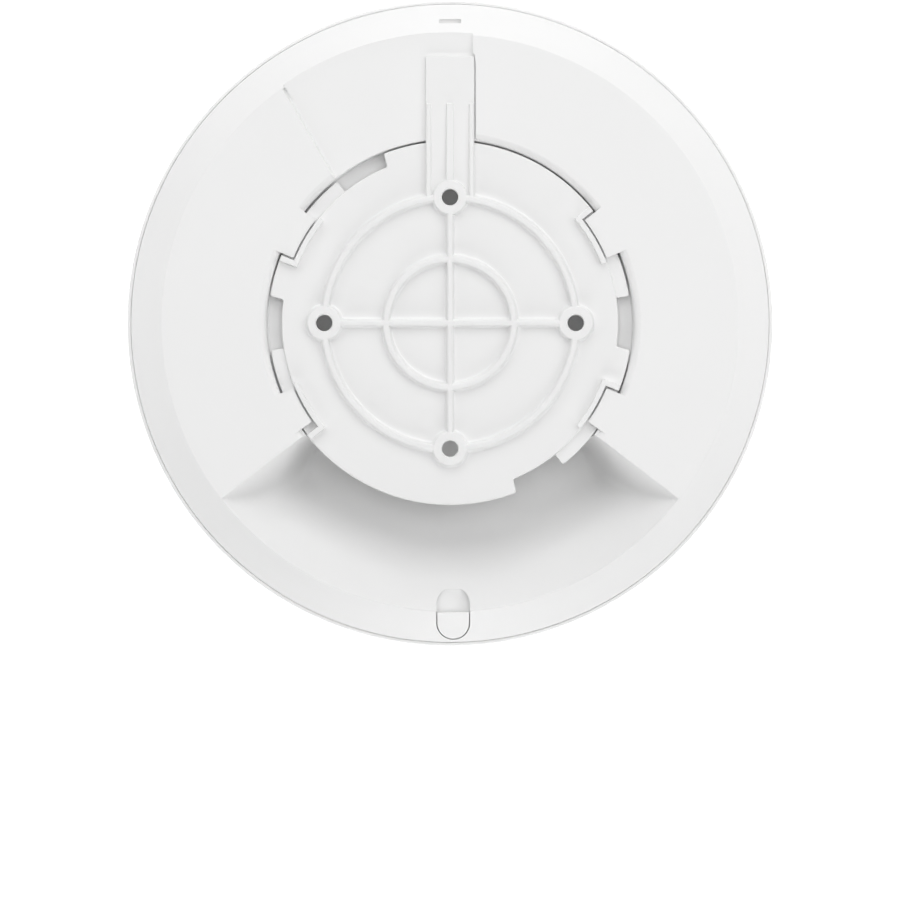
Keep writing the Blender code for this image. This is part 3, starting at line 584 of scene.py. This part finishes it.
def arm_solids():
    """The arm, run in over the plate to the outer ring so that no joint shows, and its three ribs."""
    edge = ARM_HALF_WIDTH
    side = [ARM_INNER_Y + (ARM_TIP_Y - ARM_INNER_Y) * i / ARM_STATIONS for i in range(1, ARM_STATIONS)]
    tip = [(edge, ARM_TIP_Y), (-edge, ARM_TIP_Y)]
    outline = [(-edge, ARM_INNER_Y), (edge, ARM_INNER_Y)]
    outline += [(edge, y) for y in side] + tip + [(-edge, y) for y in side[::-1]]
    middle = edge - SIDE_RIB_INSET - SIDE_RIB_WIDTH / 2
    solids = [prism("arm", ARM_BOTTOM, ARM_TOP, softened(outline, tip, ARM_TIP_ROUND), ARM_SOFT)]
    inside = edge - 0.02
    root = rectangle(-inside, inside, ARM_INNER_Y + 0.1, ARM_BEND_Y - 0.2)
    solids.append(prism("arm_root", PLATE_BOTTOM + 0.4, ARM_TOP - 0.02, root, 0.0))
    solids += [arm_rib("side_rib", x, SIDE_RIB_WIDTH) for x in (-middle, middle)]
    solids.append(arm_rib("centre_rib", 0.0, CENTRE_RIB_WIDTH))
    return solids


def build_bracket():
    """Plate and arm as the one moulding they are."""
    plate = prism("bracket", PLATE_BOTTOM, PLATE_TOP, bracket_outline(), PLATE_SOFT)
    low = BRACKET_LOW.z + 0.1
    skirt = [(SKIRT_INNER_RADIUS, RIB_FOOT), (SKIRT_OUTER_RADIUS, RIB_FOOT)]
    skirt += [(SKIRT_OUTER_RADIUS, low), (SKIRT_INNER_RADIUS, low)]
    solids = [turned("skirt", skirt)] + arm_solids()
    for start in BAYONET_STARTS:
        solids += bayonet_unit(start)
    solids.append(rib_ring("outer_ring", HOLE_CIRCLE_RADIUS, OUTER_RING_TOP))
    solids.append(rib_ring("inner_ring", INNER_RING_RADIUS, INNER_RING_TOP))
    reach = HOLE_CIRCLE_RADIUS
    solids.append(straight_rib("rib_x", rib_section(CROSS_WIDTH, CROSS_TOP_X), (reach, 0.0)))
    solids.append(straight_rib("rib_y", rib_section(CROSS_WIDTH, CROSS_TOP_Y), (0.0, reach)))
    solids += [boss("boss", at, BOSS_TOP) for at in hole_centres()]
    solids += [boss_sleeve(at) for at in covered_holes()]
    plate = join(plate, *solids)
    cutters = [hole_cutter(at) for at in hole_centres()]
    cutters += [mould_mark(at, radius, PLATE_TOP) for at, radius in PLATE_MARKS]
    cutters.append(mould_mark(*ARM_MARK, ARM_TOP))
    plate = cut(plate, *cutters)
    return shade(plate)


# ---------------------------------------------------------------- rear casing

def band_height(radius):
    share = (radius - BAND_RADIUS) / (RIM_RADIUS - BAND_RADIUS)
    return BACK_Z + share * (RIM_Z - BACK_Z)


def casing_block():
    """The casing before its well, bay and channel are cut."""
    skin = CASING_SKIN
    inner = WELL_RADIUS + skin
    return turned("casing", rounded([
        (0.0, BACK_Z),
        (BAND_RADIUS, BACK_Z, BAND_ROUND),
        (RIM_RADIUS, RIM_Z, RIM_ROUND),
        (RIM_RADIUS, SKIRT_Z),
        (RIM_RADIUS - skin, SKIRT_Z),
        (RIM_RADIUS - skin, RIM_Z - 1.0),
        (BAND_RADIUS - 0.5, BACK_Z - skin),
        (inner, BACK_Z - skin),
        (inner, WELL_Z - skin),
        (0.0, WELL_Z - skin),
    ]))


def well_cutter():
    """The well, flared at its top for a rounded edge, less the four hooks that overhang it and two ledges
    that close the corners beside the bay."""
    high = 3.0
    turns = [math.radians(180.0 - WELL_EDGE_ARC * i / 10) for i in range(11)]
    centre = (WELL_RADIUS + WELL_EDGE, BACK_Z - WELL_EDGE)
    flare = [(centre[0] + WELL_EDGE * math.cos(t), centre[1] + WELL_EDGE * math.sin(t)) for t in turns]
    profile = [(0.0, high), (flare[-1][0], high)] + flare[::-1]
    floor = [(WELL_RADIUS, WELL_Z, WELL_FLOOR_ROUND), (0.0, WELL_Z), (0.0, high), (WELL_RADIUS, high)]
    profile += rounded(floor, 4)[:6]
    well = turned("well", profile)
    hooks = []
    before_bay, after_bay = BAY_SIDE_HOOKS
    for start in BAYONET_STARTS:
        middle = start + HOOK_CENTRE
        first = middle - (HOOK_BAY_ANGLE if middle == after_bay else HOOK_HALF_ANGLE)
        last = middle + (HOOK_BAY_ANGLE if middle == before_bay else HOOK_HALF_ANGLE)
        plan = sector(HOOK_INNER_RADIUS, WELL_RADIUS + 5.0, first, last)
        corners = [plan_point(HOOK_INNER_RADIUS, first), plan_point(HOOK_INNER_RADIUS, last)]
        hooks.append(prism("hook", HOOK_BOTTOM, 5.0, softened(plan, corners, HOOK_ROUND), HOOK_SOFT))
    for first, last in ((before_bay + HOOK_BAY_ANGLE - 0.3, BAY_BEARING - BAY_HALF_ANGLE + 1.0),
                        (BAY_BEARING + BAY_HALF_ANGLE - 1.0, after_bay - HOOK_BAY_ANGLE + 0.3)):
        plan = sector(BRACKET_RADIUS + LEDGE_GAP, WELL_RADIUS + 1.2, first, last)
        hooks.append(prism("ledge", WELL_Z - 1.0, BACK_Z - 0.9, plan, HOOK_SOFT))
    return cut(well, *hooks)


def eased(share):
    """0 to 1 down a wall of the bay: a firm slope at its top edge, then a soft run out on to the floor."""
    t = max(0.0, min(1.0, share))
    return BAY_LIP_SLOPE * (t - 2 * t * t + t ** 3) + 3 * t * t - 2 * t ** 3


def bay_depth(radius, turn):
    """How far the bay's surface lies below the back here. Turn is in degrees from the bay's middle.
    The side walls are steeper near the well, and meet the outer wall in a hollow that widens with depth."""
    depth = BACK_Z - BAY_FLOOR
    inward = (BAY_RIM_RADIUS - radius) / (BAY_RIM_RADIUS - BAY_FLAT_RADIUS)
    share = (radius - BAY_STEEP_RADIUS) / (BAY_RIM_RADIUS - BAY_STEEP_RADIUS)
    reach = BAY_INNER_REACH + (BAY_SIDE_REACH - BAY_INNER_REACH) * max(0.0, min(1.0, share))
    aside = radius * math.sin(math.radians(BAY_HALF_ANGLE - abs(turn))) / reach
    if min(inward, aside) <= 0.0:
        return depth * BAY_LIP_SLOPE * min(inward, aside)
    walls = (depth * eased(inward), depth * eased(aside))
    return (sum(wall ** -BAY_HOLLOW for wall in walls) / 2) ** (-1.0 / BAY_HOLLOW)


def bay_body(name, offset, top):
    """The bay's space as a solid, pushed out by offset: a sector, squared off at the jack's wall."""
    edge = BAY_HALF_ANGLE + BAY_MARGIN_ANGLE
    shares = [math.sin(math.pi / 2 * i / BAY_COLUMNS) for i in range(-BAY_COLUMNS, BAY_COLUMNS + 1)]
    turns = [-edge] + [BAY_HALF_ANGLE * share for share in shares] + [edge]
    span = BAY_RIM_RADIUS - BAY_START_RADIUS
    radii = [BAY_START_RADIUS + span * i / BAY_ROWS for i in range(BAY_ROWS + 1)]
    radii.append(BAY_RIM_RADIUS + BAY_MARGIN)
    grown = 1.0 + offset / BAY_FLAT_RADIUS  # pushes the plan out by about offset
    made = bmesh.new()
    lower, upper = [], []
    for radius in radii:
        plan = [plan_point(radius * grown, BAY_BEARING + turn * grown) for turn in turns]
        floor = [BACK_Z - offset - bay_depth(radius, turn) for turn in turns]
        lower.append([made.verts.new((x * MM, y * MM, z * MM)) for (x, y), z in zip(plan, floor)])
        upper.append([made.verts.new((x * MM, y * MM, top * MM)) for x, y in plan])
    last = len(radii) - 1
    for i in range(last):
        for j in range(len(turns) - 1):
            made.faces.new((lower[i][j], lower[i][j + 1], lower[i + 1][j + 1], lower[i + 1][j]))
            made.faces.new((upper[i][j], upper[i + 1][j], upper[i + 1][j + 1], upper[i][j + 1]))
        for j in (0, -1):
            made.faces.new((lower[i][j], lower[i + 1][j], upper[i + 1][j], upper[i][j]))
    for j in range(len(turns) - 1):
        for i in (0, last):
            made.faces.new((lower[i][j], lower[i][j + 1], upper[i][j + 1], upper[i][j]))
    bmesh.ops.recalc_face_normals(made, faces=made.faces)
    reach = HOUSING_RADIUS * 1.5
    front = rectangle(-reach, reach, -reach, BAY_BACK_Y + offset)
    return common(finished_mesh(name, made), prism(name + "_plan", BAY_FLOOR - 9.0, top + 9.0, front, 0.0))


def below_back(drop):
    """All that lies deeper than the casing's back surface by at least drop."""
    rim = RIM_RADIUS - 0.4
    low = BAY_FLOOR - 6.0
    return turned("below_back", [
        (0.0, WELL_Z - drop),
        (WELL_RADIUS + drop, WELL_Z - drop),
        (WELL_RADIUS + WELL_EDGE, BACK_Z - drop),
        (BAND_RADIUS - drop, BACK_Z - drop),
        (rim, band_height(rim) - drop),
        (rim, low),
        (0.0, low),
    ])


def under_band(inner, outer, low, drop=0.0):
    """A ring whose top is the rim band, lowered by drop."""
    profile = [(inner, band_height(inner) - drop), (outer, band_height(outer) - drop)]
    return turned("under_band", profile + [(outer, low), (inner, low)])


def channel_plan(side):
    """The sector that the arm sweeps, this far out on each side of it, with a rounded corner at the well."""
    angle = math.radians(UNLOCK_ANGLE)
    across = Vector((-math.cos(angle), -math.sin(angle))) * side
    along = Vector((-math.sin(angle), math.cos(angle)))
    radius = CHANNEL_CORNER
    centre = (side + radius, math.sqrt(WELL_RADIUS ** 2 - side ** 2) + radius)
    turns = [math.radians(270.0 - 90.0 * i / 8) for i in range(9)]
    corner = [(centre[0] + radius * math.cos(t), centre[1] + radius * math.sin(t)) for t in turns]
    inside, outside = 30.0, 90.0
    tip = [
        (side, ARM_TIP_Y - POCKET_START),
        (ARM_HALF_WIDTH + TIP_GAP_ASIDE, ARM_TIP_Y + TIP_GAP_AHEAD),
        (POCKET_SIDE, ARM_TIP_Y + 0.7),
        (POCKET_SIDE, outside),
    ]
    far_edge = [tuple(across + along * outside), tuple(across + along * inside)]
    return [(corner[0][0], inside)] + corner + tip + far_edge


def channel_bevel():
    """The sloping edge where the swept sector ends."""
    angle = math.radians(UNLOCK_ANGLE)
    across = Vector((-math.cos(angle), -math.sin(angle))) * CHANNEL_SIDE
    along = Vector((-math.sin(angle), math.cos(angle)))
    low = CHANNEL_FLOOR + 0.02
    high = BACK_Z + 0.01
    section = [(0.3, low), (-0.1, low), (-CHANNEL_BEVEL, high), (0.3, high)]
    return bar("bevel", [(across + along * radius, section) for radius in (40.0, BAND_RADIUS - 0.6)])


def channel_cutter():
    """The recess that the arm sweeps through. Its floor runs out through the rim band."""
    start = WELL_RADIUS - 2.0
    high = 2.0
    profile = [
        (start, high),
        (CHANNEL_END[0], high),
        CHANNEL_END,
        (CHANNEL_RAMP_RADIUS, CHANNEL_FLOOR),
        (start, CHANNEL_FLOOR),
    ]
    plan = channel_plan(CHANNEL_SIDE)
    return common(turned("channel", profile), prism("channel_plan", -5.0, 5.0, plan, 0.0))


def channel_skin():
    """Thicker skin under the channel."""
    low = CHANNEL_FLOOR - CASING_SKIN
    high = BACK_Z - 0.5
    inner = WELL_RADIUS + 0.5
    outer = BAND_RADIUS + 0.3
    ring = [(inner, high), (outer, high), (outer, low), (inner, low)]
    plan = sector(WELL_RADIUS - 5.0, BAND_RADIUS + 5.0, -10.0, UNLOCK_ANGLE + 10.0)
    return common(turned("channel_skin", ring), prism("skin_plan", -8.0, 2.0, plan, 0.0))


def knockout_groove(name, offset, low, high):
    half = KNOCKOUT_HALF_WIDTH + offset
    outline = obround(KNOCKOUT_X, KNOCKOUT_OUTER_Y - offset, KNOCKOUT_INNER_Y + offset, half)
    return prism(name, low, high, outline, 0.0)


def screw_pocket(at, offset, high):
    """Room in the well's floor for a mounting screw's head."""
    low = SCREW_POCKET_FLOOR - offset
    edge = SCREW_POCKET_RADIUS + offset
    return turned("screw_pocket", [(0.0, high), (edge, high), (edge, low), (0.0, low)], 64, at)


def jack_wall_cutters():
    """The window in front of the jack, and the hole for the reset button beside it."""
    outline = rectangle(-WINDOW_HALF_WIDTH, WINDOW_HALF_WIDTH, BAY_BACK_Y - 0.5, WINDOW_BACK_Y)
    window = prism("window", WINDOW_LOW, WINDOW_HIGH, outline, 0.0)
    turns = [math.tau * i / 32 for i in range(32)]
    circle = [(BUTTON_HOLE_RADIUS * math.cos(t), BUTTON_Z + BUTTON_HOLE_RADIUS * math.sin(t)) for t in turns]
    ends = ((BUTTON_X, BAY_BACK_Y - 2.0), (BUTTON_X, BAY_BACK_Y + 6.0))
    return window, bar("button_hole", [(end, circle) for end in ends])


def build_casing():
    casing = casing_block()
    casing = join(casing, *[screw_pocket(at, SCREW_POCKET_SKIN, WELL_Z - 0.2) for at in covered_holes()])
    bay_shell = common(bay_body("bay_shell", BAY_WALL, BAY_CUTTER_TOP), below_back(0.1))
    skin = KNOCKOUT_SKIN
    groove_shell = common(knockout_groove("groove_shell", skin, KNOCKOUT_FLOOR - 2 * skin, BACK_Z - 0.3),
                          under_band(55.0, RIM_RADIUS - 0.4, KNOCKOUT_FLOOR - skin, 0.1))
    casing = join(casing, channel_skin(), groove_shell, bay_shell)
    slot = rectangle(-SLOT_LENGTH / 2, SLOT_LENGTH / 2, SLOT_Y - SLOT_WIDTH / 2, SLOT_Y + SLOT_WIDTH / 2)
    slot = rounded([(x, y, SLOT_ROUND) for x, y in slot])
    hollows = [well_cutter(), bay_body("bay", 0.0, BAY_CUTTER_TOP), channel_cutter(), channel_bevel()]
    hollows.append(knockout_groove("groove", 0.0, KNOCKOUT_FLOOR, 4.0))
    hollows.append(prism("slot", SLOT_FLOOR, 2.0, slot, 0.0))
    hollows += jack_wall_cutters()
    casing = cut(casing, *hollows)
    casing = cut(casing, *[screw_pocket(at, 0.0, WELL_Z + 0.5) for at in covered_holes()])
    return shade(casing)


def build_tab():
    """The break-out tab, flush with the rim band, bevelled along its straight inner edge."""
    half = KNOCKOUT_HALF_WIDTH - KNOCKOUT_GAP
    outline = obround(KNOCKOUT_X, KNOCKOUT_OUTER_Y + KNOCKOUT_GAP, KNOCKOUT_INNER_Y, half)
    tab = prism("knockout_tab", TAB_LOW.z, 2.0, outline, 0.0)
    tab = common(tab, under_band(60.0, RIM_RADIUS, KNOCKOUT_FLOOR - 2.0))
    edge_y = TAB_HIGH.y
    level = band_height(-edge_y)
    split = prism("split", -12.0, 4.0, rectangle(-9.0, 9.0, edge_y, KNOCKOUT_INNER_Y + 4.0), 0.0)
    section = [(-0.2, level - TAB_BEVEL - 0.2), (TAB_BEVEL + 0.2, level + 0.2), (-0.2, level + 0.2)]
    bevel = bar("tab_bevel", [((-9.0, edge_y), section), ((9.0, edge_y), section)])
    return shade(cut(tab, split, bevel))


# ---------------------------------------------------------------- front

def cover_curve(offset):
    width = HOUSING_RADIUS - SHOULDER_RADIUS - offset
    depth = SHOULDER_Z - HOUSING_BOTTOM - offset
    turns = [math.pi / 2 * i / 32 for i in range(33)]
    return [(SHOULDER_RADIUS + width * math.cos(t), SHOULDER_Z - depth * math.sin(t)) for t in turns]


def build_cover():
    inner_side = HOUSING_RADIUS - COVER_SKIN
    lip_inner = RIM_RADIUS + SEAM
    ledge = SKIRT_Z - 0.3
    hole = RING_HIGH.x + 0.1
    below = LIP_Z - 2.0
    top = [
        (lip_inner, below),
        (lip_inner, LIP_Z, LIP_INNER_ROUND),
        (HOUSING_RADIUS, LIP_Z, LIP_ROUND),
        (HOUSING_RADIUS, below),
    ]
    profile = rounded(top, 6)[1:-1] + cover_curve(0.0)
    profile += [(hole + EDGE_ROUND, HOUSING_BOTTOM), (hole, HOUSING_BOTTOM + EDGE_ROUND)]
    profile.append((hole, HOUSING_BOTTOM + COVER_SKIN))
    profile += cover_curve(COVER_SKIN)[::-1]
    profile += [(inner_side, ledge), (lip_inner, ledge)]
    return shade(turned("cover", profile))


def build_cap():
    edge = CAP_HIGH.x
    low, high = CAP_LOW.z, CAP_HIGH.z
    profile = [
        (0.0, low + COVER_SKIN),
        (edge - COVER_SKIN, low + COVER_SKIN),
        (edge - COVER_SKIN, high),
        (edge, high),
        (edge, low + EDGE_ROUND),
        (edge - EDGE_ROUND, low),
        (0.0, low),
    ]
    return shade(turned("cap", profile, 120))


def build_ring():
    inner, outer = RING_HIGH.x - LIGHT_RING_WIDTH, RING_HIGH.x
    face, high = RING_LOW.z + LIGHT_RING_SET_BACK, RING_HIGH.z
    soft = LIGHT_RING_ROUND
    profile = rounded([(inner, high), (outer, high), (outer, face, soft), (inner, face, soft)])
    return shade(turned("ring", profile, 120))


# ---------------------------------------------------------------- materials

PLASTIC_IOR = 1.49
GLOSS_SPREAD = 0.08            # how far roughness drifts to each side, as a share of it
NOISE_LOW, NOISE_HIGH = 0.3, 0.7  # the noise values between which colour and roughness drift


def new_material(name):
    made = bpy.data.materials.new(name)
    made.use_nodes = True
    tree = made.node_tree
    shader = tree.nodes["Principled BSDF"]
    return made, tree, shader


def noise(tree, scale, detail=3.0, roughness=0.5):
    where = tree.nodes.new("ShaderNodeTexCoord")
    node = tree.nodes.new("ShaderNodeTexNoise")
    node.inputs["Scale"].default_value = scale
    node.inputs["Detail"].default_value = detail
    node.inputs["Roughness"].default_value = roughness
    tree.links.new(where.outputs["Object"], node.inputs["Vector"])
    return node


def vary_color(tree, shader, color, spread, scale):
    """Base colour that drifts by a few parts in a hundred over the surface."""
    source = noise(tree, scale)
    ramp = tree.nodes.new("ShaderNodeValToRGB")
    dark = tuple(c * (1.0 - spread) for c in color)
    bright = tuple(min(1.0, c * (1.0 + spread)) for c in color)
    ramp.color_ramp.elements[0].position = NOISE_LOW
    ramp.color_ramp.elements[1].position = NOISE_HIGH
    ramp.color_ramp.elements[0].color = (*dark, 1.0)
    ramp.color_ramp.elements[1].color = (*bright, 1.0)
    tree.links.new(source.outputs["Fac"], ramp.inputs["Fac"])
    tree.links.new(ramp.outputs["Color"], shader.inputs["Base Color"])


def vary_roughness(tree, shader, low, high, scale):
    source = noise(tree, scale, 2.0)
    spread = tree.nodes.new("ShaderNodeMapRange")
    spread.inputs["From Min"].default_value = NOISE_LOW
    spread.inputs["From Max"].default_value = NOISE_HIGH
    spread.inputs["To Min"].default_value = low
    spread.inputs["To Max"].default_value = high
    tree.links.new(source.outputs["Fac"], spread.inputs["Value"])
    tree.links.new(spread.outputs["Result"], shader.inputs["Roughness"])


def grain(tree, shader, scale, strength, distance):
    source = noise(tree, scale, 2.0, 0.6)
    bump = tree.nodes.new("ShaderNodeBump")
    bump.inputs["Strength"].default_value = strength
    bump.inputs["Distance"].default_value = distance
    tree.links.new(source.outputs["Fac"], bump.inputs["Height"])
    tree.links.new(bump.outputs["Normal"], shader.inputs["Normal"])


def surface(name, color, rough, metallic=0.0, spread=0.02, blotch=30.0, fine=2500.0, relief=0.15,
            depth=0.00002):
    """A moulded, plated or printed finish: colour drift, uneven gloss and a fine grain."""
    made, tree, shader = new_material(name)
    shader.inputs["Metallic"].default_value = metallic
    shader.inputs["IOR"].default_value = PLASTIC_IOR
    vary_color(tree, shader, color, spread, blotch)
    low, high = rough * (1.0 - GLOSS_SPREAD), rough * (1.0 + GLOSS_SPREAD)
    vary_roughness(tree, shader, low, min(1.0, high), blotch * 4.0)
    grain(tree, shader, fine, relief, depth)
    return made


def white(name, level, rough, relief):
    return surface(name, (level, level, level * 0.998), rough, spread=0.006, relief=relief)


def light_guide():
    made = surface("light_guide", (0.80, 0.84, 0.88), 0.3, relief=0.05)
    shader = made.node_tree.nodes["Principled BSDF"]
    shader.inputs["Subsurface Weight"].default_value = 0.3
    shader.inputs["Subsurface Radius"].default_value = (0.003, 0.003, 0.003)
    return made


def inner_looks():
    """Materials of the CAD nodes that stay, by the record's material slot."""
    return {
        "foam": surface("foam", (0.02, 0.02, 0.02), 0.9, relief=0.6, depth=0.0001, fine=1500.0),
        "plated_steel": surface("plated_steel", (0.72, 0.72, 0.70), 0.30, 1.0, fine=4000.0, relief=0.08),
        "tinned_shield": surface("tinned_shield", (0.74, 0.74, 0.72), 0.36, 1.0, fine=3000.0, relief=0.10),
        "contact_gold": surface("contact_gold", (0.85, 0.62, 0.25), 0.28, 1.0),
        "black_plastic": surface("black_plastic", (0.025, 0.025, 0.027), 0.5, spread=0.1),
        "grey_plastic": surface("grey_plastic", (0.42, 0.42, 0.42), 0.5),
        "circuit_board": surface("circuit_board", (0.015, 0.15, 0.06), 0.35, spread=0.15, blotch=120.0),
        "chip_resin": surface("chip_resin", (0.03, 0.03, 0.034), 0.45, spread=0.1),
        "ferrite": surface("ferrite", (0.10, 0.10, 0.11), 0.7, spread=0.1),
        "capacitor_sleeve": surface("capacitor_sleeve", (0.07, 0.09, 0.22), 0.35),
        "aluminium_plate": surface("aluminium_plate", (0.75, 0.76, 0.77), 0.38, 1.0, fine=1200.0,
                                   relief=0.12),
        "thermal_pad": surface("thermal_pad", (0.33, 0.40, 0.48), 0.8, relief=0.3),
        "led_resin": surface("led_resin", (0.85, 0.88, 0.95), 0.2),
    }


def paint(obj, look):
    obj.data.materials.clear()
    obj.data.materials.append(look)


def add_piece(obj, name, body, slot, look, *nodes):
    """Puts a finished mesh in place of these CAD nodes."""
    obj.name = name
    paint(obj, look)
    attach(obj, body)
    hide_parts(*nodes)
    return obj


def build_pieces():
    casing_white = white("casing_white", 0.84, 0.42, 0.10)
    bracket_white = white("bracket_white", 0.83, 0.45, 0.14)
    cover_white = white("cover_white", 0.85, 0.35, 0.05)
    bracket = build_bracket()
    bracket.name = "bracket_plate"
    paint(bracket, bracket_white)
    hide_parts("mounting_bracket", "locking_arm")
    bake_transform(bracket)
    add_piece(build_casing(), "casing_shell", "access_point", "casing_plastic", casing_white, "rear_casing")
    add_piece(build_tab(), "knockout_tab", "cable_knockout", "casing_plastic", casing_white, "cable_knockout")
    add_piece(build_cover(), "cover_shell", "access_point", "cover_plastic", cover_white, "front_cover")
    add_piece(build_cap(), "cover_cap", "access_point", "cover_plastic", cover_white, "center_cap")
    add_piece(build_ring(), "light_guide_ring", "access_point", "light_guide", light_guide(), "light_ring")


def paint_nodes():
    looks = inner_looks()
    slots = {row["node"]: row["material_slot"] for row in frame["record"]["subparts"]}
    for node, obj in frame["nodes"].items():
        if slots[node] in looks:
            paint(obj, looks[slots[node]])


# ---------------------------------------------------------------- stage, light and camera

FLOOR_HALF = 3.0               # in metres
FLOOR_GAP = 0.0002
FLOOR_GLOW = 0.55
WORLD_GLOW = 0.02


def build_floor():
    """A plain white floor that the unit lies on, front down. It is seen from above only."""
    made = bmesh.new()
    bmesh.ops.create_grid(made, x_segments=8, y_segments=8, size=FLOOR_HALF)
    floor = finished_mesh("floor", made)
    floor.location.z = HOUSING_BOTTOM * MM - FLOOR_GAP
    look, tree, shader = new_material("floor_white")
    shader.inputs["Base Color"].default_value = (0.9, 0.9, 0.9, 1.0)
    shader.inputs["Roughness"].default_value = 1.0
    shader.inputs["Emission Color"].default_value = (1.0, 1.0, 1.0, 1.0)
    shader.inputs["Emission Strength"].default_value = FLOOR_GLOW
    side = tree.nodes.new("ShaderNodeNewGeometry")
    clear = tree.nodes.new("ShaderNodeBsdfTransparent")
    mix = tree.nodes.new("ShaderNodeMixShader")
    output = tree.nodes["Material Output"]
    tree.links.new(side.outputs["Backfacing"], mix.inputs["Fac"])
    tree.links.new(shader.outputs["BSDF"], mix.inputs[1])
    tree.links.new(clear.outputs["BSDF"], mix.inputs[2])
    tree.links.new(mix.outputs["Shader"], output.inputs["Surface"])
    paint(floor, look)


# Soft boxes round the unit: (azimuth in degrees from +Y towards +X, elevation, watts)
SOFT_BOXES = (
    (0.0, 90.0, 4.6), (90.0, 40.0, 4.3), (315.0, 40.0, 3.8), (0.0, 40.0, 4.3), (45.0, 40.0, 3.4),
    (180.0, 12.0, 10.6), (270.0, 12.0, 4.4), (0.0, 12.0, 2.6), (90.0, 12.0, 1.4))
SOFT_BOX_SIZE = 0.9
SOFT_BOX_DISTANCE = 1.3


def area_light(azimuth, elevation, power):
    turn, rise = math.radians(azimuth), math.radians(elevation)
    level = math.cos(rise)
    away = Vector((math.sin(turn) * level, math.cos(turn) * level, math.sin(rise)))
    data = bpy.data.lights.new("soft_box", "AREA")
    data.shape = "SQUARE"
    data.size = SOFT_BOX_SIZE
    data.energy = power
    light = bpy.data.objects.new("soft_box", data)
    bpy.context.scene.collection.objects.link(light)
    light.location = away * SOFT_BOX_DISTANCE
    light.rotation_euler = away.to_track_quat("Z", "Y").to_euler()


def build_light():
    world = bpy.data.worlds.new("studio")
    bpy.context.scene.world = world
    world.use_nodes = True
    background = world.node_tree.nodes["Background"]
    background.inputs["Color"].default_value = (1.0, 1.0, 1.0, 1.0)
    background.inputs["Strength"].default_value = WORLD_GLOW
    for azimuth, elevation, power in SOFT_BOXES:
        area_light(azimuth, elevation, power)


LENS = 400.0
SENSOR = 36.0
VIEW_WIDTH = 0.2232            # width of the view at the aim point, in metres
AIM = Vector((0.0, -0.0314, -0.0080))


def build_camera():
    data = bpy.data.cameras.new("camera")
    data.lens = LENS
    data.sensor_width = SENSOR
    data.clip_start = 0.01
    data.clip_end = 20.0
    camera = bpy.data.objects.new("camera", data)
    bpy.context.scene.collection.objects.link(camera)
    distance = VIEW_WIDTH * LENS / SENSOR
    camera.location = AIM + Vector((0.0, 0.0, distance))
    bpy.context.scene.camera = camera


build_camera()
build_light()
build_floor()
build_pieces()
paint_nodes()
bpy.context.scene.view_settings.view_transform = "Standard"
